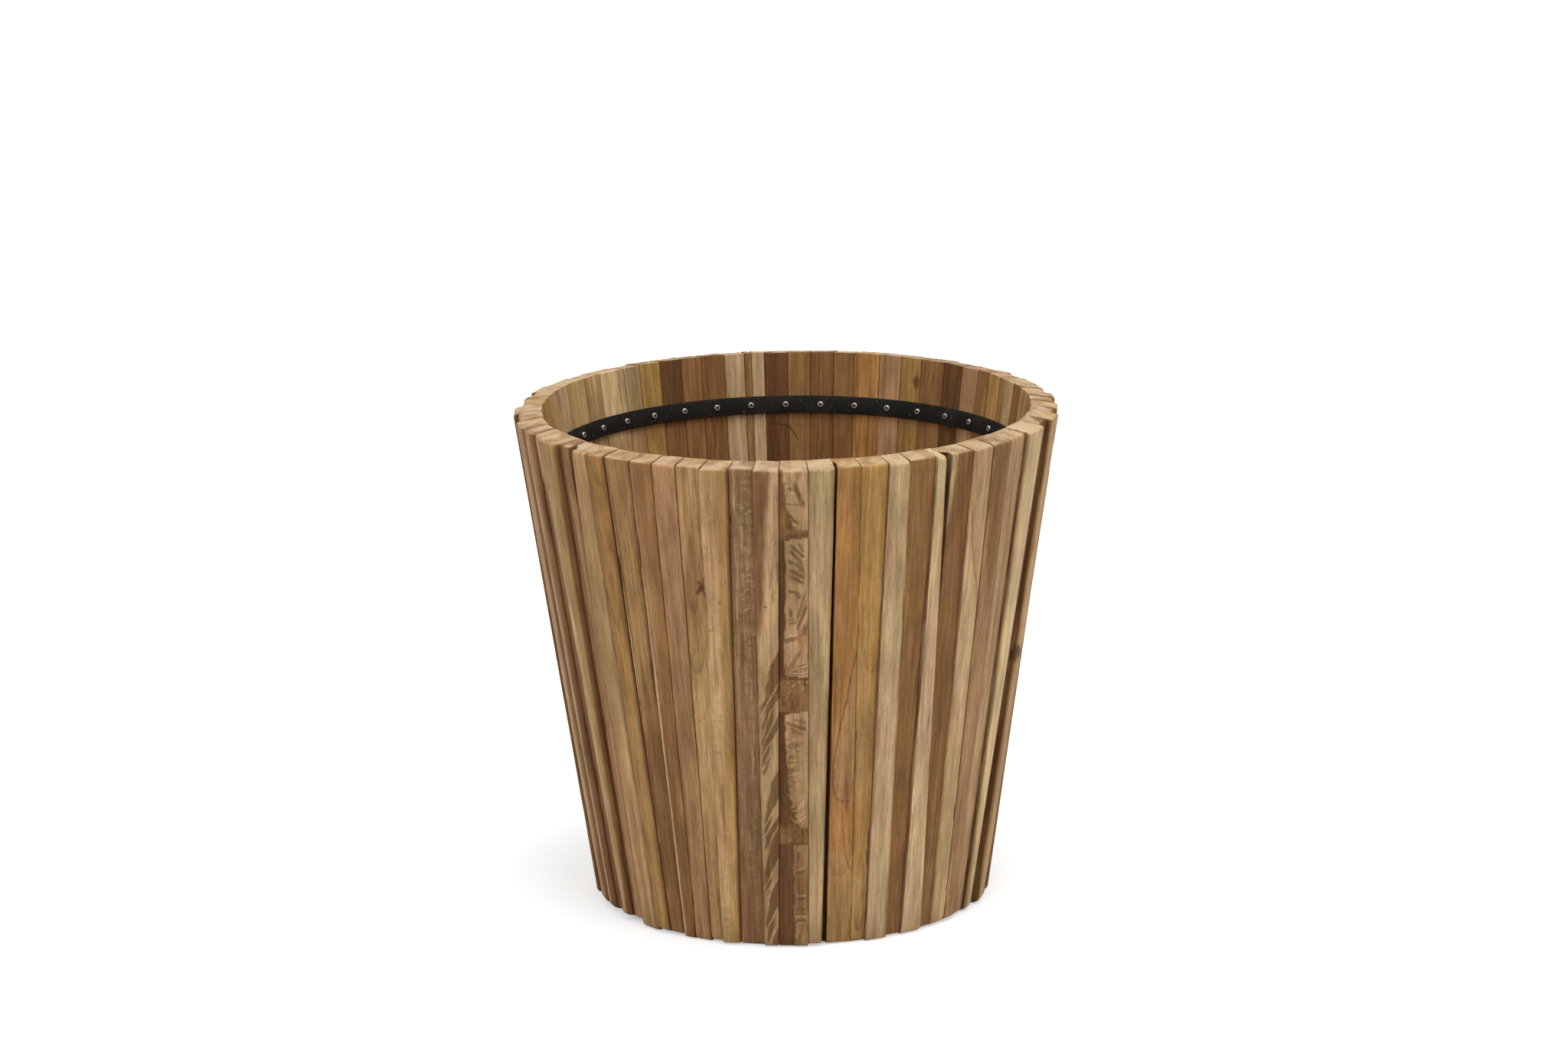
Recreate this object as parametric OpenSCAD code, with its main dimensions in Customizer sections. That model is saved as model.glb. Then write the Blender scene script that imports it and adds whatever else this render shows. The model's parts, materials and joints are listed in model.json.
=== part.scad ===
// Barrel planter: a truncated cone of upright wooden staves of many widths, held
// together from the inside by two screwed steel hoops. A base of round-cut boards
// rests on the lower hoop, with drainage gaps between the boards.
//
// Origin: on the floor, at the centre of the foot. +Z is up and -Y is the front.
// Angles are counted from the front and round by the right.

/* [Overall] */
// Diameter of the wall's outer face, at the height of the rim
rim_d = 600; // [480:5:750]
// Diameter of the wall's outer face, at the floor
foot_d = 438; // [330:5:560]
// Height from the floor to the inner edge of the rim
height = 560; // [430:5:700]

/* [Staves] */
// Thickness of a stave whose outer face is flush with the wall
stave_t = 29; // [22:0.5:40]
// Gap between neighbouring staves, along the glue line
joint_gap = 0.3; // [0.1:0.05:0.6]
// Radius of the outer edge of each stave's top end
rim_round = 5; // [1:0.5:8]
// Radius of the outer edge of each stave's foot
foot_round = 7; // [1:0.5:8]
// Depth of the open gaps beside a few of the staves
open_gap_depth = 15; // [5:1:18]

/* [Hoops] */
// Height of the hoop's flat bar
hoop_h = 20; // [12:1:40]
// Thickness of the hoop's flat bar
hoop_t = 3; // [1.5:0.5:6]
// Distance from the rim down to the middle of the upper hoop
upper_hoop_drop = 61; // [30:1:150]
// Distance from the floor up to the middle of the lower hoop
lower_hoop_rise = 42; // [25:1:120]
// Gap between a hoop and the staves
hoop_gap = 0.15; // [0.05:0.05:0.5]

/* [Screws] */
// Number of screws in each hoop
hoop_screws = 40; // [16:1:60]
// Diameter of a screw's head
head_d = 7; // [5:0.5:10]
// Height of a screw's head
head_h = 2.4; // [1.5:0.1:4]
// Diameter of a screw's shank
shank_d = 3.5; // [2.5:0.5:5]
// Length of a hoop screw under its head
hoop_screw_l = 16; // [10:1:20]
// Depth that a base screw reaches into a base board
base_screw_bite = 11; // [6:1:11]
// Gap round a shank in its pilot hole
shank_gap = 0.1; // [0.05:0.05:0.3]
// Diameter that the hole through the steel has over the shank's
hoop_hole_extra = 0.6; // [0.4:0.1:1.5]

/* [Base] */
// Number of boards in the base
base_boards = 5; // [3:1:7]
// Thickness of the base boards
base_t = 18; // [12:1:24]
// Drainage gap between two base boards
drain_gap = 8; // [5:1:15]
// Gap between the base boards and the wall
base_gap = 1; // [0.5:0.5:3]
// Width of a batten under the base
batten_w = 40; // [30:1:60]
// Thickness of a batten under the base
batten_t = 20; // [16:1:24]
// Distance from the centre out to the middle of each batten
batten_out = 72; // [50:1:90]
// Distance from a batten's end to its last screw
batten_end = 15; // [10:1:25]
// Gap between a batten's end and the screws of the lower hoop
batten_gap = 5; // [2:1:15]

/* [Hidden] */
$fn = 96;
ring_fn = 192;
eps = 0.01;

CREAM = "#b79f76";
TAN = "#a5835a";
HONEY = "#a2773f";
ROSE = "#9a7150";
BROWN = "#815c38";
DARK = "#694a30";
STEEL = "#b9bbbd";
BLACK = "#1f1c1a";

// Each stave in turn, from the front: its width at the rim, its width at the foot,
// how far its outer face stands proud of the wall, and its tone. The widths add up
// to about the wall's length round, and are scaled together to close the ring.
STAVES = [
    [31, 32,  3, TAN],    [29, 15,  1, CREAM],  [29, 33, -3, HONEY],  [31, 16, -3, HONEY],
    [25, 26,  1, CREAM],  [33, 18, -3, BROWN],  [12, 27,  2, CREAM],  [39, 15, -2, BROWN],
    [30, 22,  0, TAN],    [32, 20,  1, ROSE],   [35, 21, -2, TAN],    [43, 14,  2, CREAM],
    [27, 16, -4, ROSE],   [33, 26,  3, TAN],    [29, 25, -3, BROWN],  [27, 21,  2, TAN],
    [23, 20, -2, HONEY],  [24, 19,  3, ROSE],   [23, 19, -3, TAN],    [22, 17,  1, BROWN],
    [40, 32,  2, TAN],    [27, 20, -2, BROWN],  [23, 19,  3, HONEY],  [31, 22,  0, TAN],
    [31, 24, -3, DARK],   [36, 28,  2, ROSE],   [30, 20,  0, HONEY],  [31, 24, -2, TAN],
    [35, 25,  3, HONEY],  [27, 21, -3, ROSE],   [31, 23,  1, BROWN],  [29, 21, -2, HONEY],
    [30, 23,  2, DARK],   [17, 13, -3, CREAM],  [9, 7,  1, BROWN],    [27, 21,  3, CREAM],
    [31, 23, -3, DARK],   [28, 20,  1, BROWN],  [31, 24, -2, DARK],   [31, 23,  3, TAN],
    [26, 18, -2, TAN],    [43, 29,  2, CREAM],  [31, 24, -3, TAN],    [44, 33,  1, TAN],
    [35, 27,  3, TAN],    [18, 14, -3, BROWN],  [13, 12,  2, TAN],    [38, 29, -2, HONEY],
    [39, 29,  3, ROSE],   [34, 27, -3, TAN],    [38, 29,  2, TAN],    [30, 20,  1, BROWN],
    [20, 21, -3, ROSE],   [40, 15,  3, TAN],    [19, 20, -3, ROSE],   [34, 26,  1, TAN],
    [24, 17,  1, HONEY],  [35, 18, -2, TAN],    [29, 16, -1, BROWN],  [28, 19, -2, ROSE],
    [29, 15, -3, HONEY],  [31, 20,  2, CREAM],  [27, 27, -4, DARK],   [28, 16,  2, ROSE],
];

// Angle of the joint before the first stave, at the rim and at the foot
first_joint_rim = -1.7;
first_joint_foot = -4.4;

// Open gaps, each on the near side of a stave: the stave's place in the list from 0,
// the gap's width at the rim, and at the foot, where below 0 it has closed on the way
OPEN_GAPS = [[2, 2.5, 5], [7, 9, -16], [55, 9, -20]];

n_staves = len(STAVES);
stave_pairs = ceil(n_staves / 2);

// The wall
rim_r = rim_d / 2;
foot_r = foot_d / 2;
slope = (rim_r - foot_r) / height;
lean = atan(slope);
wall_out = [cos(lean), -sin(lean)];
wall_up = [sin(lean), cos(lean)];
function inner_r(z) = foot_r + slope * z - stave_t / cos(lean);

// Sum of the first n entries in column c of the list of staves
function total(c, n) = n == 0 ? 0 : total(c, n - 1) + STAVES[n - 1][c];
rim_widths = [for (i = [0 : n_staves]) total(0, i)];
foot_widths = [for (i = [0 : n_staves]) total(1, i)];

// Angles of the joint before stave i, and of the middle of stave i
function rim_angle(i) = first_joint_rim + 360 * rim_widths[i] / rim_widths[n_staves];
function foot_angle(i) = first_joint_foot + 360 * foot_widths[i] / foot_widths[n_staves];
function joint_angle(i) = (rim_angle(i) + foot_angle(i)) / 2;
function stave_angle(i) = (joint_angle(i) + joint_angle(i + 1)) / 2;

// The blank that a stave is cut from, wider than any stave
blank_w = rim_r / 2;
// A block larger than the planter, for cuts
block = 2 * (rim_d + height);

// Hoops. The base rests on the upper inner corner of the lower hoop.
upper_hoop_z = height - upper_hoop_drop;
lower_hoop_z = lower_hoop_rise;
seat_z = lower_hoop_z + hoop_h / 2 * cos(lean) + (hoop_t + hoop_gap) * sin(lean);

// Base
base_r = inner_r(seat_z) - base_gap;
board_w = (2 * base_r - (base_boards - 1) * drain_gap) / base_boards;
batten_reach = inner_r(lower_hoop_z - hoop_h / 2) - hoop_t - head_h - batten_gap;
batten_l = 2 * sqrt(pow(batten_reach, 2) - pow(batten_out + batten_w / 2, 2));
function board_x(k) = (k - (base_boards + 1) / 2) * (board_w + drain_gap);
function base_screw_x(k) =
    min(max(board_x(k), batten_end - batten_l / 2), batten_l / 2 - batten_end);

function stave_node(k) = str("staves_", k < 10 ? "0" : "", k);
function board_node(k) = str("base_board_", k);

for (k = [1 : stave_pairs]) {
    stave_pair(k);
}
hoop(upper_hoop_z);  // upper_hoop
hoop(lower_hoop_z);  // lower_hoop
hoop_screw_ring(upper_hoop_z);  // upper_hoop_screws
hoop_screw_ring(lower_hoop_z);  // lower_hoop_screws
for (k = [1 : base_boards]) {
    base_board(k);
}
base_batten(-1);  // base_batten_front
base_batten(1);  // base_batten_back
base_screws();

// Turns a piece drawn towards +X to an angle from the front
module at_angle(a) {
    rotate([0, 0, a - 90]) children();
}

// Everything on the near side (-1) or the far side (1) of the plane that runs from an
// angle at the rim to an angle at the foot, and a little over the plane
module joint_side(rim_a, foot_a, side, over) {
    half = (rim_a - foot_a) / 2;
    skew = atan((rim_r + foot_r) * sin(half) / height);
    at_angle((rim_a + foot_a) / 2)
        translate([0, -foot_r * sin(half) - side * over, 0])
            rotate([-skew, 0, 0])
                translate([-block / 2, side > 0 ? 0 : -block, -block / 2])
                    cube([block, block, block]);
}

// Points of an arc round c
function arc(c, r, from, to, steps = 6) =
    [for (k = [0 : steps]) c + r * [cos(from + (to - from) * k / steps), sin(from + (to - from) * k / steps)]];

// Side view of a stave: its top end is square to it, its foot is level, and the
// outer edges of both ends are rounded
module stave_outline(proud) {
    t = stave_t + proud;
    foot_in = [inner_r(0), 0];
    top_in = [inner_r(height), height];
    foot_out_x = inner_r(0) + t / cos(lean);
    foot_c = [foot_out_x - foot_round * (1 - sin(lean)) / cos(lean), foot_round];
    rim_c = top_in + (t - rim_round) * wall_out - rim_round * wall_up;
    polygon(concat(
        [foot_in],
        arc(foot_c, foot_round, -90, -lean),
        arc(rim_c, rim_round, -lean, 90 - lean),
        [top_in]
    ));
}

// The wedge off a stave's outer corner that leaves an open gap beside it
module open_gap(gap, proud) {
    i = gap[0];
    gap_floor = inner_r(0) + (stave_t + proud - open_gap_depth) / cos(lean);
    intersection() {
        joint_side(rim_angle(i) + atan(gap[1] / rim_r), foot_angle(i) + atan(gap[2] / foot_r), -1, 0);
        at_angle(stave_angle(i))
            translate([gap_floor, 0, 0])
                rotate([0, lean, 0])
                    translate([0, -block / 2, -block / 2])
                        cube([block, block, block]);
    }
}

module stave(i) {
    proud = STAVES[i][2];
    difference() {
        at_angle(stave_angle(i))
            rotate([90, 0, 0])
                linear_extrude(height = blank_w, center = true)
                    stave_outline(proud);
        joint_side(rim_angle(i), foot_angle(i), -1, joint_gap / 2);
        joint_side(rim_angle(i + 1), foot_angle(i + 1), 1, joint_gap / 2);
        for (gap = OPEN_GAPS) {
            if (gap[0] == i) open_gap(gap, proud);
        }
        pilot_holes(i, upper_hoop_z);
        pilot_holes(i, lower_hoop_z);
    }
}

module stave_pair(k) {
    for (i = [2 * k - 2 : min(2 * k, n_staves) - 1]) {
        color(STAVES[i][3]) stave(i);
    }
}

// Puts a piece at screw k of the hoop at height z: the origin on the hoop's inner
// face, and +X out through the wall
module at_hoop_screw(k, z) {
    at_angle(k * 360 / hoop_screws)
        translate([inner_r(z), 0, z])
            rotate([0, lean, 0])
                translate([-hoop_gap - hoop_t, 0, 0])
                    children();
}

// The smaller turn between two angles
function turn_between(a, b) = abs((a - b + 900) % 360 - 180);

// The holes in stave i for those screws of the hoop at height z that meet it
module pilot_holes(i, z) {
    hole_d = shank_d + 2 * shank_gap;
    widest = max(rim_angle(i + 1) - rim_angle(i), foot_angle(i + 1) - foot_angle(i));
    reach = widest / 2 + abs(rim_angle(i) - foot_angle(i)) / 2 + atan(hole_d / foot_r);
    for (k = [0 : hoop_screws - 1]) {
        if (turn_between(k * 360 / hoop_screws, stave_angle(i)) < reach) {
            at_hoop_screw(k, z)
                rotate([0, 90, 0])
                    cylinder(d = hole_d, h = hoop_screw_l + shank_gap);
        }
    }
}

// A flat bar bent to a ring that leans with the wall, and drilled for its screws
module hoop(z) {
    color(BLACK)
    difference() {
        rotate_extrude($fn = ring_fn)
            translate([inner_r(z), z])
                rotate([0, 0, -lean])
                    translate([-hoop_gap - hoop_t, -hoop_h / 2])
                        square([hoop_t, hoop_h]);
        for (k = [0 : hoop_screws - 1]) {
            at_hoop_screw(k, z)
                translate([-hoop_t, 0, 0])
                    rotate([0, 90, 0])
                        cylinder(d = shank_d + hoop_hole_extra, h = 3 * hoop_t);
        }
    }
}

// A pan-head screw along +X with a cross recess, the underside of its head at the origin
module screw(length) {
    recess_l = head_d * 0.55;
    recess_w = head_d * 0.13;
    recess_depth = head_h * 0.6;
    difference() {
        rotate([0, 90, 0])
            rotate_extrude($fn = 48)
                polygon([
                    [0, length], [shank_d * 0.1, length], [shank_d / 2, length - shank_d],
                    [shank_d / 2, 0], [head_d / 2, 0], [head_d / 2, -head_h * 0.4],
                    [head_d * 0.44, -head_h * 0.75], [head_d * 0.3, -head_h], [0, -head_h],
                ]);
        for (turn = [0, 90]) {
            rotate([turn, 0, 0])
                translate([-head_h - eps, -recess_l / 2, -recess_w / 2])
                    cube([recess_depth + eps, recess_l, recess_w]);
        }
    }
}

module hoop_screw_ring(z) {
    color(STEEL)
    for (k = [0 : hoop_screws - 1]) {
        at_hoop_screw(k, z)
            translate([-hoop_gap, 0, 0])
                screw(hoop_screw_l);
    }
}

// The places of the screws that join base board k to the two battens
module at_base_screws(k) {
    for (side = [-1, 1]) {
        translate([base_screw_x(k), side * batten_out, 0]) children();
    }
}

// The base's round outline, with its edge bevelled like the wall
module base_disc() {
    rotate_extrude($fn = ring_fn)
        polygon([
            [0, seat_z], [base_r, seat_z],
            [base_r + slope * base_t, seat_z + base_t], [0, seat_z + base_t],
        ]);
}

module base_board(k) {
    color(TAN)
    difference() {
        intersection() {
            base_disc();
            translate([board_x(k) - board_w / 2, -rim_r, 0])
                cube([board_w, rim_d, height]);
        }
        at_base_screws(k)
            translate([0, 0, seat_z - eps])
                cylinder(d = shank_d + 2 * shank_gap, h = base_screw_bite + shank_gap);
    }
}

module base_batten(side) {
    color(BROWN)
    difference() {
        translate([-batten_l / 2, side * batten_out - batten_w / 2, seat_z - batten_t])
            cube([batten_l, batten_w, batten_t]);
        for (k = [1 : base_boards]) {
            at_base_screws(k)
                translate([0, 0, seat_z - batten_t - eps])
                    cylinder(d = shank_d + 2 * shank_gap, h = batten_t + 2 * eps);
        }
    }
}

module base_screws() {
    color(STEEL)
    for (k = [1 : base_boards]) {
        at_base_screws(k)
            translate([0, 0, seat_z - batten_t])
                rotate([0, -90, 0])
                    screw(batten_t + base_screw_bite);
    }
}
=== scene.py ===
import json
import math

import bpy
import numpy as np
from bpy.props import FloatProperty, FloatVectorProperty, IntProperty, PointerProperty
from mathutils import Matrix, Vector

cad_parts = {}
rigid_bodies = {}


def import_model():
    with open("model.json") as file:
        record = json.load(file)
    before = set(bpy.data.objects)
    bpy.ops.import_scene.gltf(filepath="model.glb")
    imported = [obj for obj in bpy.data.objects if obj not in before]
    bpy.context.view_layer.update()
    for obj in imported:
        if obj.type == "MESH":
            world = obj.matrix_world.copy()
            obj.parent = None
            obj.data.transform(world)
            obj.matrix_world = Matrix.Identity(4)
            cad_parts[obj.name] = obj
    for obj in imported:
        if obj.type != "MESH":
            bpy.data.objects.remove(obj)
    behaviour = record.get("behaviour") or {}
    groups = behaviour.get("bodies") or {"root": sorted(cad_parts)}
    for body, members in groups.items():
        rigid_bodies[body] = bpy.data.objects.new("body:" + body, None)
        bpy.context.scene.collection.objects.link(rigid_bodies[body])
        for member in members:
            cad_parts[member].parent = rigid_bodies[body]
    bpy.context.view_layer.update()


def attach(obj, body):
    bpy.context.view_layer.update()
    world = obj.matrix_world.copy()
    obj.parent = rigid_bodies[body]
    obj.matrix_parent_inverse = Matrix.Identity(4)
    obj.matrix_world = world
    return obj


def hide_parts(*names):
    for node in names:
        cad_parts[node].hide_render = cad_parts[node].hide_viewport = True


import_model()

bl_info = {
    "name": "Stave Planter",
    "version": (1, 0, 0),
    "blender": (4, 5, 0),
    "location": "View3D > Sidebar > Planter",
    "description": "Builds a tapered planter of screwed wooden staves, and its studio",
    "category": "Object",
}

MM = 0.001
BODY = "root"

# Seeds of the chance values; a stave, board or batten adds its own number
STAVE_SEED = 4100
TONE_SEED = 9000
BOARD_SEED = 700
BATTEN_SEED = 800
UPPER_SCREW_SEED, LOWER_SCREW_SEED, BASE_SCREW_SEED = 61, 62, 63

# Spacing of a stave's net along and across it, in metres, where it is worked and where plain
FINE_NET = (0.0016, 0.0011)
PLAIN_NET = (0.006, 0.0024)

# Rows of a net from an edge inward, as shares of the edge's rounding
EDGE_STEPS = np.array([0, 0.3, 0.65, 1.0, 2.2])
# Turns, in degrees, of the rows over the rounding of a stave's end
END_TURNS = (0, 11, 22, 35, 50, 68, 90)

# The staves at the lower left of the photograph, whose outer edges are splintered most
ROUGH_STAVES = range(50, 58)

HOOP_STEPS = 360
DRILL_SIDES = 20
SCREW_SIDES = 24
# A pan head from its crown out to its underside, as shares of its radius and height
HEAD_PROFILE = ((0.66, 1.0), (0.76, 0.985), (0.85, 0.94), (0.92, 0.85), (0.97, 0.72), (0.99, 0.58),
                (1.0, 0.42), (1.0, 0.08), (0.96, 0.0))

FLOOR_HALF = 60.0
SENSOR_WIDTH = 36.0
LAMP_AIM = (0, 0, 0.3)
# Each lamp's name, which is also its power's, its place and its width
LAMPS = (("key", (-2.6, -3.2, 2.9), 2.6), ("fill", (3.2, -3.0, 1.8), 2.6), ("top", (0.3, -0.4, 3.4), 2.0))


# ---------------------------------------------------------------- sizes and colours


def shown(red, green, blue):
    """A colour as it looks on a screen, 0 to 255, as the linear colour a shader needs."""
    return tuple(
        c / 12.92 if c <= 0.04045 else ((c + 0.055) / 1.055) ** 2.4
        for c in (red / 255, green / 255, blue / 255)
    )


def size(name, description, millimetres):
    """A length that the user can set, kept in metres."""
    return FloatProperty(
        name=name, description=description, default=millimetres * MM, min=0.0,
        precision=5, unit="LENGTH", subtype="DISTANCE",
    )


def colour(name, description, *screen):
    """A colour that the user can set."""
    return FloatVectorProperty(
        name=name, description=description, default=shown(*screen), min=0.0, max=1.0,
        size=3, subtype="COLOR",
    )


class PlanterWall(bpy.types.PropertyGroup):
    """Sizes of the ring of staves."""

    rim_d: size("Rim diameter", "Across the wall's outer face at the rim", 600)
    foot_d: size("Foot diameter", "Across the wall's outer face at the floor", 438)
    height: size("Height", "From the floor to the rim's inner edge", 560)
    stave_t: size("Stave thickness", "Of a stave that is flush with the wall", 29)
    joint_gap: size("Joint gap", "Between two staves along the glue line", 0.3)
    edge_round: size("Edge rounding", "Radius along a stave's outer edges", 0.75)
    rim_round: size("Rim rounding", "Radius over the outer edge of the top ends", 5)
    foot_round: size("Foot rounding", "Radius over the outer edge of the feet", 6.5)
    gap_depth: size("Gap depth", "Depth of the open gaps beside a few staves", 15)


class PlanterTones(bpy.types.PropertyGroup):
    """Tones of bare wood, from the palest sapwood to the darkest heartwood."""

    pale: colour("Pale", "Clean sapwood", 196, 173, 138)
    cream: colour("Cream", "Sapwood", 177, 155, 122)
    straw: colour("Straw", "Yellowish wood", 172, 145, 102)
    tan: colour("Tan", "Ordinary heartwood", 165, 135, 96)
    honey: colour("Honey", "Golden heartwood", 161, 127, 78)
    amber: colour("Amber", "Orange heartwood", 160, 119, 73)
    rose: colour("Rose", "Pinkish heartwood", 158, 126, 93)
    russet: colour("Russet", "Reddish brown heartwood", 139, 105, 68)
    brown: colour("Brown", "Brown heartwood", 125, 92, 58)
    umber: colour("Umber", "Dark heartwood", 100, 70, 42)
    grey: colour("Grey", "Rough wood gone grey", 139, 109, 82)
    # Dirt also serves as painted shade: on the sides of the staves inside the joints and over the gouged
    # hollow.
    dirt: colour("Dirt", "What gathers in the joints", 76, 46, 21)


class PlanterHoops(bpy.types.PropertyGroup):
    """Sizes and paint of the two hoops inside the wall."""

    bar_h: size("Bar height", "Height of the flat bar", 20)
    bar_t: size("Bar thickness", "Thickness of the flat bar", 3)
    upper_drop: size("Upper hoop drop", "From the rim to the middle of the hoop", 61)
    lower_rise: size("Lower hoop rise", "From the floor to the middle of the hoop", 42)
    gap: size("Hoop gap", "Between a hoop and the staves", 0.15)
    corner: size("Corner rounding", "Radius of the bar's long edges", 0.5)
    screws: IntProperty(
        name="Screws", description="Number of screws in each hoop", default=40, min=8,
    )
    paint: colour("Paint", "Satin black paint", 20, 18, 15)


class PlanterScrews(bpy.types.PropertyGroup):
    """Sizes and plating of the pan-head screws."""

    head_d: size("Head diameter", "Across the pan head", 6.9)
    head_h: size("Head height", "From the head's underside to its top", 2.4)
    shank_d: size("Shank diameter", "Over the crests of the thread", 3.5)
    hole_d: size("Hole diameter", "Of the hole through the hoop", 4.1)
    hoop_l: size("Hoop screw length", "Under the head", 16)
    base_bite: size("Base screw bite", "How deep a base screw goes in a board", 11)
    zinc: colour("Zinc", "Zinc plating", 168, 167, 160)


class PlanterBase(bpy.types.PropertyGroup):
    """Sizes of the slatted base and its battens."""

    boards: IntProperty(name="Boards", description="Number of base boards", default=5, min=3)
    board_t: size("Board thickness", "Thickness of the base boards", 18)
    drain_gap: size("Drainage gap", "Between two base boards", 8)
    wall_gap: size("Wall gap", "Between the base boards and the wall", 1)
    batten_w: size("Batten width", "Width of a batten", 40)
    batten_t: size("Batten thickness", "Thickness of a batten", 20)
    batten_out: size("Batten distance", "From the centre to a batten's middle", 72)
    batten_gap: size("Batten gap", "From a batten's end to the hoop screws", 5)
    batten_end: size("Batten end", "From a batten's end to its last screw", 15)


class PlanterStage(bpy.types.PropertyGroup):
    """The studio round the planter: floor, lamps and camera."""

    floor: colour("Floor", "Colour of the floor", 232, 231, 229)
    floor_glow: FloatProperty(
        name="Floor glow", description="Light that the floor adds for the camera",
        default=0.47, min=0.0,
    )
    sky: FloatProperty(
        name="Sky", description="Strength of the even light from all round", default=0.66,
        min=0.0,
    )
    key: FloatProperty(
        name="Key lamp", description="Power of the large lamp on the left, in watts",
        default=46.0, min=0.0,
    )
    fill: FloatProperty(
        name="Fill lamp", description="Power of the large lamp on the right, in watts",
        default=19.0, min=0.0,
    )
    top: FloatProperty(
        name="Top lamp", description="Power of the lamp over the planter, in watts",
        default=117.0, min=0.0,
    )
    lens: FloatProperty(
        name="Lens", description="Focal length in millimetres", default=109.27, min=1.0,
    )
    eye: FloatVectorProperty(
        name="Eye", description="Where the camera stands", default=(-0.0042, -5.145, 1.7288),
        size=3, subtype="TRANSLATION", unit="LENGTH",
    )
    pitch: FloatProperty(
        name="Pitch", description="How far the camera looks down",
        default=math.radians(14.24), subtype="ANGLE",
    )
    roll: FloatProperty(
        name="Roll", description="How far the camera leans over",
        default=math.radians(-0.9), subtype="ANGLE",
    )


# ------------------------------------------------------------------------- staves

# Each stave from the front round by the right: its width at the rim and at the foot, how
# far it stands proud, all in mm, then its tone, how it was sawn from the trunk, and how
# strongly its growth rings show.
STAVES = [
    (31, 32, 3, "tan", "flat", 0.26), (29, 15, 1, "cream", "edge", 0.2),
    (29, 33, -3, "amber", "flat", 0.26), (31, 16, -3, "honey", "flat", 0.3),
    (25, 26, 1, "cream", "edge", 0.17), (33, 18, -3, "russet", "edge", 0.25),
    (12, 27, 2, "cream", "edge", 0.15), (39, 15, -2, "brown", "rift", 0.38),
    (30, 22, 0, "tan", "flat", 0.26), (32, 20, 1, "rose", "rift", 0.3),
    (35, 21, -2, "rose", "edge", 0.17), (43, 14, 2, "pale", "edge", 0.15),
    (27, 16, -4, "umber", "flat", 0.42), (33, 26, 3, "tan", "flat", 0.34),
    (29, 25, -3, "brown", "rift", 0.3), (27, 21, 2, "straw", "flat", 0.38),
    (23, 20, -2, "honey", "edge", 0.2), (24, 19, 3, "rose", "edge", 0.17),
    (23, 19, -3, "tan", "flat", 0.42), (22, 17, 1, "brown", "edge", 0.2),
    (40, 32, 2, "straw", "flat", 0.38), (27, 20, -2, "honey", "rift", 0.3),
    (23, 19, 3, "russet", "edge", 0.2), (31, 22, 0, "rose", "edge", 0.15),
    (31, 24, -3, "umber", "flat", 0.42), (36, 28, 2, "russet", "flat", 0.42),
    (30, 20, 0, "honey", "rift", 0.34), (31, 24, -2, "rose", "edge", 0.17),
    (35, 25, 3, "amber", "flat", 0.47), (27, 21, -3, "brown", "edge", 0.2),
    (31, 23, 1, "brown", "flat", 0.51), (29, 21, -2, "russet", "edge", 0.2),
    (30, 23, 2, "umber", "rift", 0.3), (17, 13, -3, "cream", "edge", 0.12),
    (9, 7, 1, "brown", "edge", 0.15), (27, 21, 3, "cream", "edge", 0.15),
    (31, 23, -3, "brown", "flat", 0.42), (28, 20, 1, "brown", "edge", 0.2),
    (31, 24, -2, "brown", "rift", 0.3), (31, 23, 3, "honey", "edge", 0.23),
    (26, 18, -2, "rose", "rift", 0.3), (43, 29, 2, "tan", "flat", 0.38),
    (31, 24, -3, "tan", "flat", 0.51), (44, 33, 1, "straw", "rift", 0.3),
    (35, 27, 3, "tan", "flat", 0.38), (18, 14, -3, "honey", "edge", 0.2),
    (13, 12, 2, "straw", "flat", 0.34), (38, 29, -2, "honey", "rift", 0.3),
    (39, 29, 3, "rose", "edge", 0.17), (34, 27, -3, "tan", "flat", 0.38),
    (38, 29, 2, "tan", "edge", 0.2), (30, 20, 1, "brown", "rift", 0.3),
    (20, 21, -3, "brown", "edge", 0.2), (40, 15, 3, "tan", "rift", 0.3),
    (19, 20, -3, "rose", "edge", 0.17), (34, 26, 1, "tan", "edge", 0.17),
    (24, 17, 1, "honey", "flat", 0.3), (35, 18, -2, "russet", "rift", 0.3),
    (29, 16, -1, "russet", "edge", 0.2), (28, 19, -2, "rose", "edge", 0.17),
    (29, 15, -3, "tan", "flat", 0.34), (31, 20, 2, "tan", "edge", 0.12),
    (27, 27, -4, "grey", "rift", 0.22), (28, 16, 2, "rose", "edge", 0.12),
]
FIRST_JOINT_RIM = math.radians(-1.7)
FIRST_JOINT_FOOT = math.radians(-4.4)

# Open gaps on a stave's near side: its width at the rim and at the foot, in mm. Below 0
# the gap has closed on the way down.
OPEN_GAPS = {2: (2.5, 5), 7: (9, -16), 55: (9, -20)}
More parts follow.
